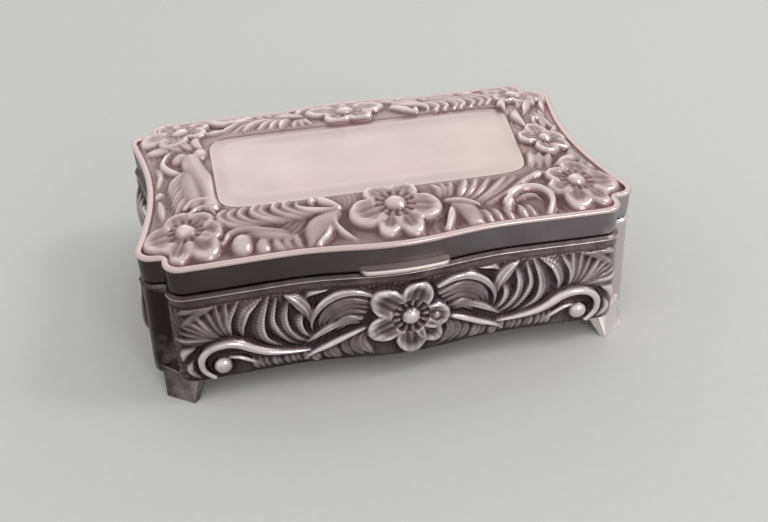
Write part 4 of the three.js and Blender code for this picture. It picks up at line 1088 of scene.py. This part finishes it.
def post(corner, side_x, side_y):
    """The rounded ear at one corner, from foot to ledge. Its edges run in behind its two neighbours."""
    ends = END_QUARTER[-POST_END_POINTS - 1:-1], LONG_QUARTER[1:POST_LONG_POINTS + 1]
    path = np.vstack((ends[0], EAR_QUARTER, ends[1]))
    path = path[np.append(True, np.linalg.norm(np.diff(path, axis=0), axis=1) > 0.01)]
    tuck = np.zeros(len(path))
    tuck[:POST_END_POINTS] = -POST_TUCK
    tuck[-POST_LONG_POINTS:] = -POST_TUCK
    ledge = LEDGE_PROUD - POST_DRAFT
    section = [
        (-POST_THICK, FOOT_HEIGHT - 1.6), (-0.12, FOOT_HEIGHT - 1.6), (0, FOOT_HEIGHT - 1.4),
        (0, FOOT_HEIGHT + 0.4), (-POST_DRAFT, LEDGE_FOOT - 0.2), (-POST_DRAFT + 0.06, LEDGE_FOOT),
        (ledge - 0.06, LEDGE_FOOT + 0.06), (ledge, LEDGE_FOOT + 0.14), (ledge - 0.06, LEDGE_FOOT + 0.24),
        (-0.5, BODY_TOP - 0.08), (-0.64, BODY_TOP - 0.02), (-POST_THICK, BODY_TOP - 0.02),
    ]
    rows = profile(path, [(tuck + out, z) for out, z in section])
    piece = solid_of_rows(f"post_{corner}", np.array(rows) * (side_x, side_y, 1))
    fit(crease(piece, 50), "body", "silver_plain", POST_SILVER, f"corner_post_{corner}")


def rounded(points, count, spread):
    """A path through points spaced evenly, with its corners eased over a length in millimetres."""
    line = evenly(np.array(points, float), count)
    step = np.linalg.norm(np.diff(line, axis=0), axis=1).mean()
    eased = blur_weights(count, step, spread) @ line
    eased[0], eased[-1] = line[0], line[-1]
    return eased


def foot(corner, side_x, side_y):
    """A plate that flares outward across the corner down to a straight edge on the floor."""
    top = rounded(FOOT_TOP, FOOT_POINTS, FOOT_EASE)
    first, last = (np.array(tip) for tip in FOOT_TIPS)
    share = np.clip((np.linspace(0, 1, FOOT_POINTS) - TIP_START) / TIP_RUN, 0, 1)
    bottom = first + (last - first) * share[:, None]
    inward = np.array((-1, -1)) / math.sqrt(2)
    head = [(FOOT_SEAT, 0.25), (0.12, 0.3), (-0.05, 0.12)]
    sole = [(0.05, 0.1), (0.2, 0.0), (FOOT_THICK - 0.2, 0.0), (FOOT_THICK, 0.15)]
    rows = [at_height(top + inward * inset, FOOT_HEIGHT + rise) for inset, rise in head]
    for drop in FOOT_DROPS:
        hollow = FOOT_HOLLOW * math.sin(math.pi * drop)
        rows.append(at_height(top + (bottom - top) * drop + inward * hollow, FOOT_HEIGHT * (1 - drop)))
    rows += [at_height(bottom + inward * inset, z) for inset, z in sole]
    rows.append(at_height(top + inward * FOOT_SEAT, FOOT_HEIGHT - 0.5))
    piece = solid_of_rows(f"foot_{corner}", np.array(rows) * (side_x, side_y, 1))
    fit(crease(piece, 35), "body", "silver_plain", FOOT_SILVER, f"corner_post_{corner}")


for end, side_y in (("front", -1), ("back", 1)):
    for hand, side_x in (("left", -1), ("right", 1)):
        post(f"{end}_{hand}", side_x, side_y)
        foot(f"{end}_{hand}", side_x, side_y)


# Thumb lift

LIFT_LOW, LIFT_HIGH = box_mm("thumb_lift")
LIFT_HALF = LIFT_HIGH[0]
LIFT_POINTS = 49
LIFT_END = 1.3
# Keeps the lip's ends just inside the CAD lift's
LIFT_WITHIN = 0.999
# The lift's reach and height at its ends, as shares of those at its middle
LIFT_END_REACH = 0.12
LIFT_END_HEIGHT = 0.45
# Shares of the lift's reach and of its height, round its section
LIFT_SECTION = [
    (0.0, 0.1), (0.0, 0.95), (0.2, 0.93), (0.4, 0.84), (0.6, 0.82), (0.76, 0.92), (0.88, 1.0), (0.96, 0.92),
    (1.0, 0.66), (0.96, 0.3), (0.8, 0.06), (0.4, 0.0),
]


def thumb_lift():
    """A lip on the front of the skirt, with rounded ends, a slightly dished top and a rounded edge."""
    across = LIFT_HALF * np.sin(np.linspace(-math.pi / 2, math.pi / 2, LIFT_POINTS)) * LIFT_WITHIN
    seat = long_face(across) - SKIRT_SET - 0.1
    front = MIDDLE_Y - LIFT_LOW[1]
    from_end = np.clip((LIFT_HALF - np.abs(across)) / LIFT_END, 0, 1)
    round_end = np.sqrt(1 - (1 - from_end) ** 2)
    reach = (front - seat.max()) * (LIFT_END_REACH + (1 - LIFT_END_REACH) * round_end)
    reach = np.minimum(reach, front - seat)
    tall = (LIFT_HIGH[2] - LIFT_LOW[2]) * (LIFT_END_HEIGHT + (1 - LIFT_END_HEIGHT) * round_end)
    middle = (LIFT_LOW[2] + LIFT_HIGH[2]) / 2
    rows = []
    for out, rise in LIFT_SECTION:
        rows.append(np.column_stack((across, -(seat + reach * out), middle + tall * (rise - 0.5))))
    piece = solid_of_rows("thumb_lip", rows)
    fit(crease(piece, 60), "lid", "silver_plain", LIFT_SILVER, "thumb_lift")


thumb_lift()


# Velvet lining

LINING_POINTS = 480
STRIP_BACK = WALL + 0.06
STRIP_FACE = STRIP_BACK + 0.75
# A pad's rounded edge: how wide it is, and where it starts and ends as shares of the pad's depth
PAD_EDGE = 0.55
EDGE_START = 0.15
EDGE_END = 0.62
# How wide a strip's rounded ends are, and how thick it is there as a share
STRIP_END = 0.6
STRIP_END_THICK = 0.25
STRIP_POINTS = 121
# Shares of a strip's thickness and of its height, round its section
STRIP_SECTION = [
    (0.0, 0.0), (0.0, 0.965), (0.12, 0.985), (0.35, 1.0), (0.62, 0.996), (0.84, 0.98), (0.95, 0.955),
    (1.0, 0.92), (1.0, 0.7), (1.0, 0.3), (0.97, 0.04), (0.8, 0.0),
]


def lining_loop(inset):
    """The outline inside the walls, straight across each corner, without the folds of tight bends."""
    quarter = np.vstack((END_QUARTER, LONG_QUARTER[OUTLINE_STEPS["corner"]:]))
    loop = whole(quarter, LINING_POINTS)
    moved = offset(loop, -inset)
    apart = np.linalg.norm(moved[:, None] - loop, axis=2).min(axis=1)
    kept = moved[apart > inset - 0.02]
    return evenly(np.vstack((kept, kept[:1])), LINING_POINTS + 1)[:-1]


def pad(name, body, node, inset, faces_up):
    """A closed velvet pad: flat where it rests on its card, with full rounded edges and a low crown."""
    low, high = box_mm(node)
    levels = [(inset + 1.0, 0.0), (inset + 0.25, 0.0), (inset + 0.06, 0.08)]
    for angle in np.radians(np.arange(0, 91, 15)):
        rise = EDGE_START + (EDGE_END - EDGE_START) * math.sin(angle)
        levels.append((inset + PAD_EDGE * (1 - math.cos(angle)), rise))
    rows = [(lining_loop(across), rise) for across, rise in levels]
    inner = lining_loop(inset + PAD_EDGE)
    half = np.abs(inner).max(axis=0)
    for share in np.linspace(0.02, 0.985, 22):
        loop = inner * (1 - share)
        crown = np.clip(1 - (loop / half) ** 2, 0, 1).prod(axis=1) * (1 - (1 - share) ** 8)
        rows.append((loop, EDGE_END + (1 - EDGE_END) * crown))
    card, toward = (low[2], 1) if faces_up else (high[2], -1)
    solid = [at_height(loop, card + toward * (high[2] - low[2]) * rise) for loop, rise in rows]
    piece = solid_of_rows(name, solid, around=True, wrap=False)
    fit(piece, body, "lining_velvet", RED_VELVET, node)


def strip(place, path, turn, axis):
    """A thin padded strip of velvet that lines one wall, with full rounded edges at its top and ends."""
    node = f"lining_{place}"
    low, high = box_mm(node)
    half = (high[axis] - low[axis]) / 2
    run = np.linspace(-half, half, STRIP_POINTS)
    line = np.column_stack([np.interp(run, path[:, axis], path[:, k]) for k in (0, 1)])
    ends = np.clip((half - np.abs(run)) / STRIP_END, 0, 1)
    plump = STRIP_END_THICK + (1 - STRIP_END_THICK) * np.sqrt(1 - (1 - ends) ** 2)
    back = offset(line, -STRIP_BACK, False)
    rows = []
    for out, rise in STRIP_SECTION:
        inward = (STRIP_FACE - STRIP_BACK) * out * plump
        face = back - outward(line, False) * inward[:, None]
        rows.append(at_height(face, low[2] + (high[2] - low[2]) * rise))
    piece = solid_of_rows(f"lining_strip_{place}", np.array(rows) * (turn, turn, 1))
    fit(piece, "body", "lining_velvet", RED_VELVET, node)


pad("base_pad", "body", "base_velvet", STRIP_FACE + 0.05, True)
pad("lid_pad", "lid", "lid_velvet", SKIRT_SET + SKIRT_DRAFT + LID_WALL + 0.1, False)
for place, turn in (("front", 1), ("back", -1)):
    strip(place, long_path(400), turn, 0)
for place, turn in (("right", 1), ("left", -1)):
    strip(place, end_path(240), turn, 1)


# Finishes of the CAD pieces that show as they are

def dress(material, *nodes):
    for node in nodes:
        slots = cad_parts[node].data.materials
        slots.clear()
        slots.append(material)


dress(PLATE_SILVER, "bottom_plate")
dress(HINGE_METAL, "hinge_leaf_lid", "hinge_leaf_body", "hinge_pin")
dress(CARD, "lid_card", "base_card")


# Camera, floor and light

CAMERA_AZIMUTH = -11.7315
CAMERA_ELEVATION = 32.5614
CAMERA_ROLL = -1.7414
CAMERA_TARGET = (-4.759, -35.350)
CAMERA_DISTANCE = 168.202
CAMERA_LENS = 47.842


def add_camera():
    """The camera at the photograph's viewpoint. Its target lies in the plane of the lid's rim."""
    ahead, aside = direction(CAMERA_AZIMUTH)
    level, rise = direction(CAMERA_ELEVATION)
    back = np.array((aside * level, -ahead * level, rise))
    right = np.cross(-back, (0, 0, 1))
    right /= np.linalg.norm(right)
    up = np.cross(right, -back)
    c, s = direction(CAMERA_ROLL)
    place = to_frame(np.array((*CAMERA_TARGET, RIM_TOP)) + back * CAMERA_DISTANCE)
    axes = np.column_stack((c * right + s * up, c * up - s * right, back))
    data = bpy.data.cameras.new("camera")
    data.lens = CAMERA_LENS
    data.clip_start = 0.01
    camera = bpy.data.objects.new("camera", data)
    camera.matrix_world = Matrix.Translation(place) @ Matrix(axes.tolist()).to_4x4()
    bpy.context.scene.collection.objects.link(camera)
    bpy.context.scene.camera = camera


def add_floor():
    recipe = Recipe("floor")
    speck = recipe.noise(size_mm=2.0)
    tone = recipe.blend(speck, (0.62, 0.62, 0.60), (0.66, 0.66, 0.64))
    material = recipe.finish(Base_Color=tone, Roughness=0.8)
    bpy.ops.mesh.primitive_plane_add(size=4)
    floor = bpy.context.object
    floor.name = "floor"
    floor.data.materials.append(material)


def add_softbox(name, place, aim, size, radiance):
    """A rectangular lamp at a place in metres, turned to its aim, of a given brightness."""
    data = bpy.data.lights.new(name, "AREA")
    data.shape = "RECTANGLE"
    data.size, data.size_y = size
    data.energy = radiance * math.pi * size[0] * size[1]
    lamp = bpy.data.objects.new(name, data)
    lamp.location = place
    lamp.rotation_mode = "QUATERNION"
    lamp.rotation_quaternion = Vector(np.array(aim, float) - place).to_track_quat("-Z", "Y")
    bpy.context.scene.collection.objects.link(lamp)


def add_light():
    world = bpy.data.worlds.new("studio")
    world.use_nodes = True
    world.node_tree.nodes["Background"].inputs["Color"].default_value = (0.78, 0.78, 0.78, 1)
    bpy.context.scene.world = world
    add_softbox("back_softbox", (0.12, 0.55, 0.42), (0, 0, 0.03), (0.6, 0.4), 0.25)
    add_softbox("top_softbox", (0.50, -0.10, 0.56), (0, 0, 0.02), (0.18, 0.18), 8.0)
    add_softbox("front_softbox", (0.24, -0.66, 0.3), (0, 0, 0.02), (0.14, 0.2), 7.0)


add_camera()
add_floor()
add_light()
bpy.context.scene.view_settings.view_transform = "Standard"
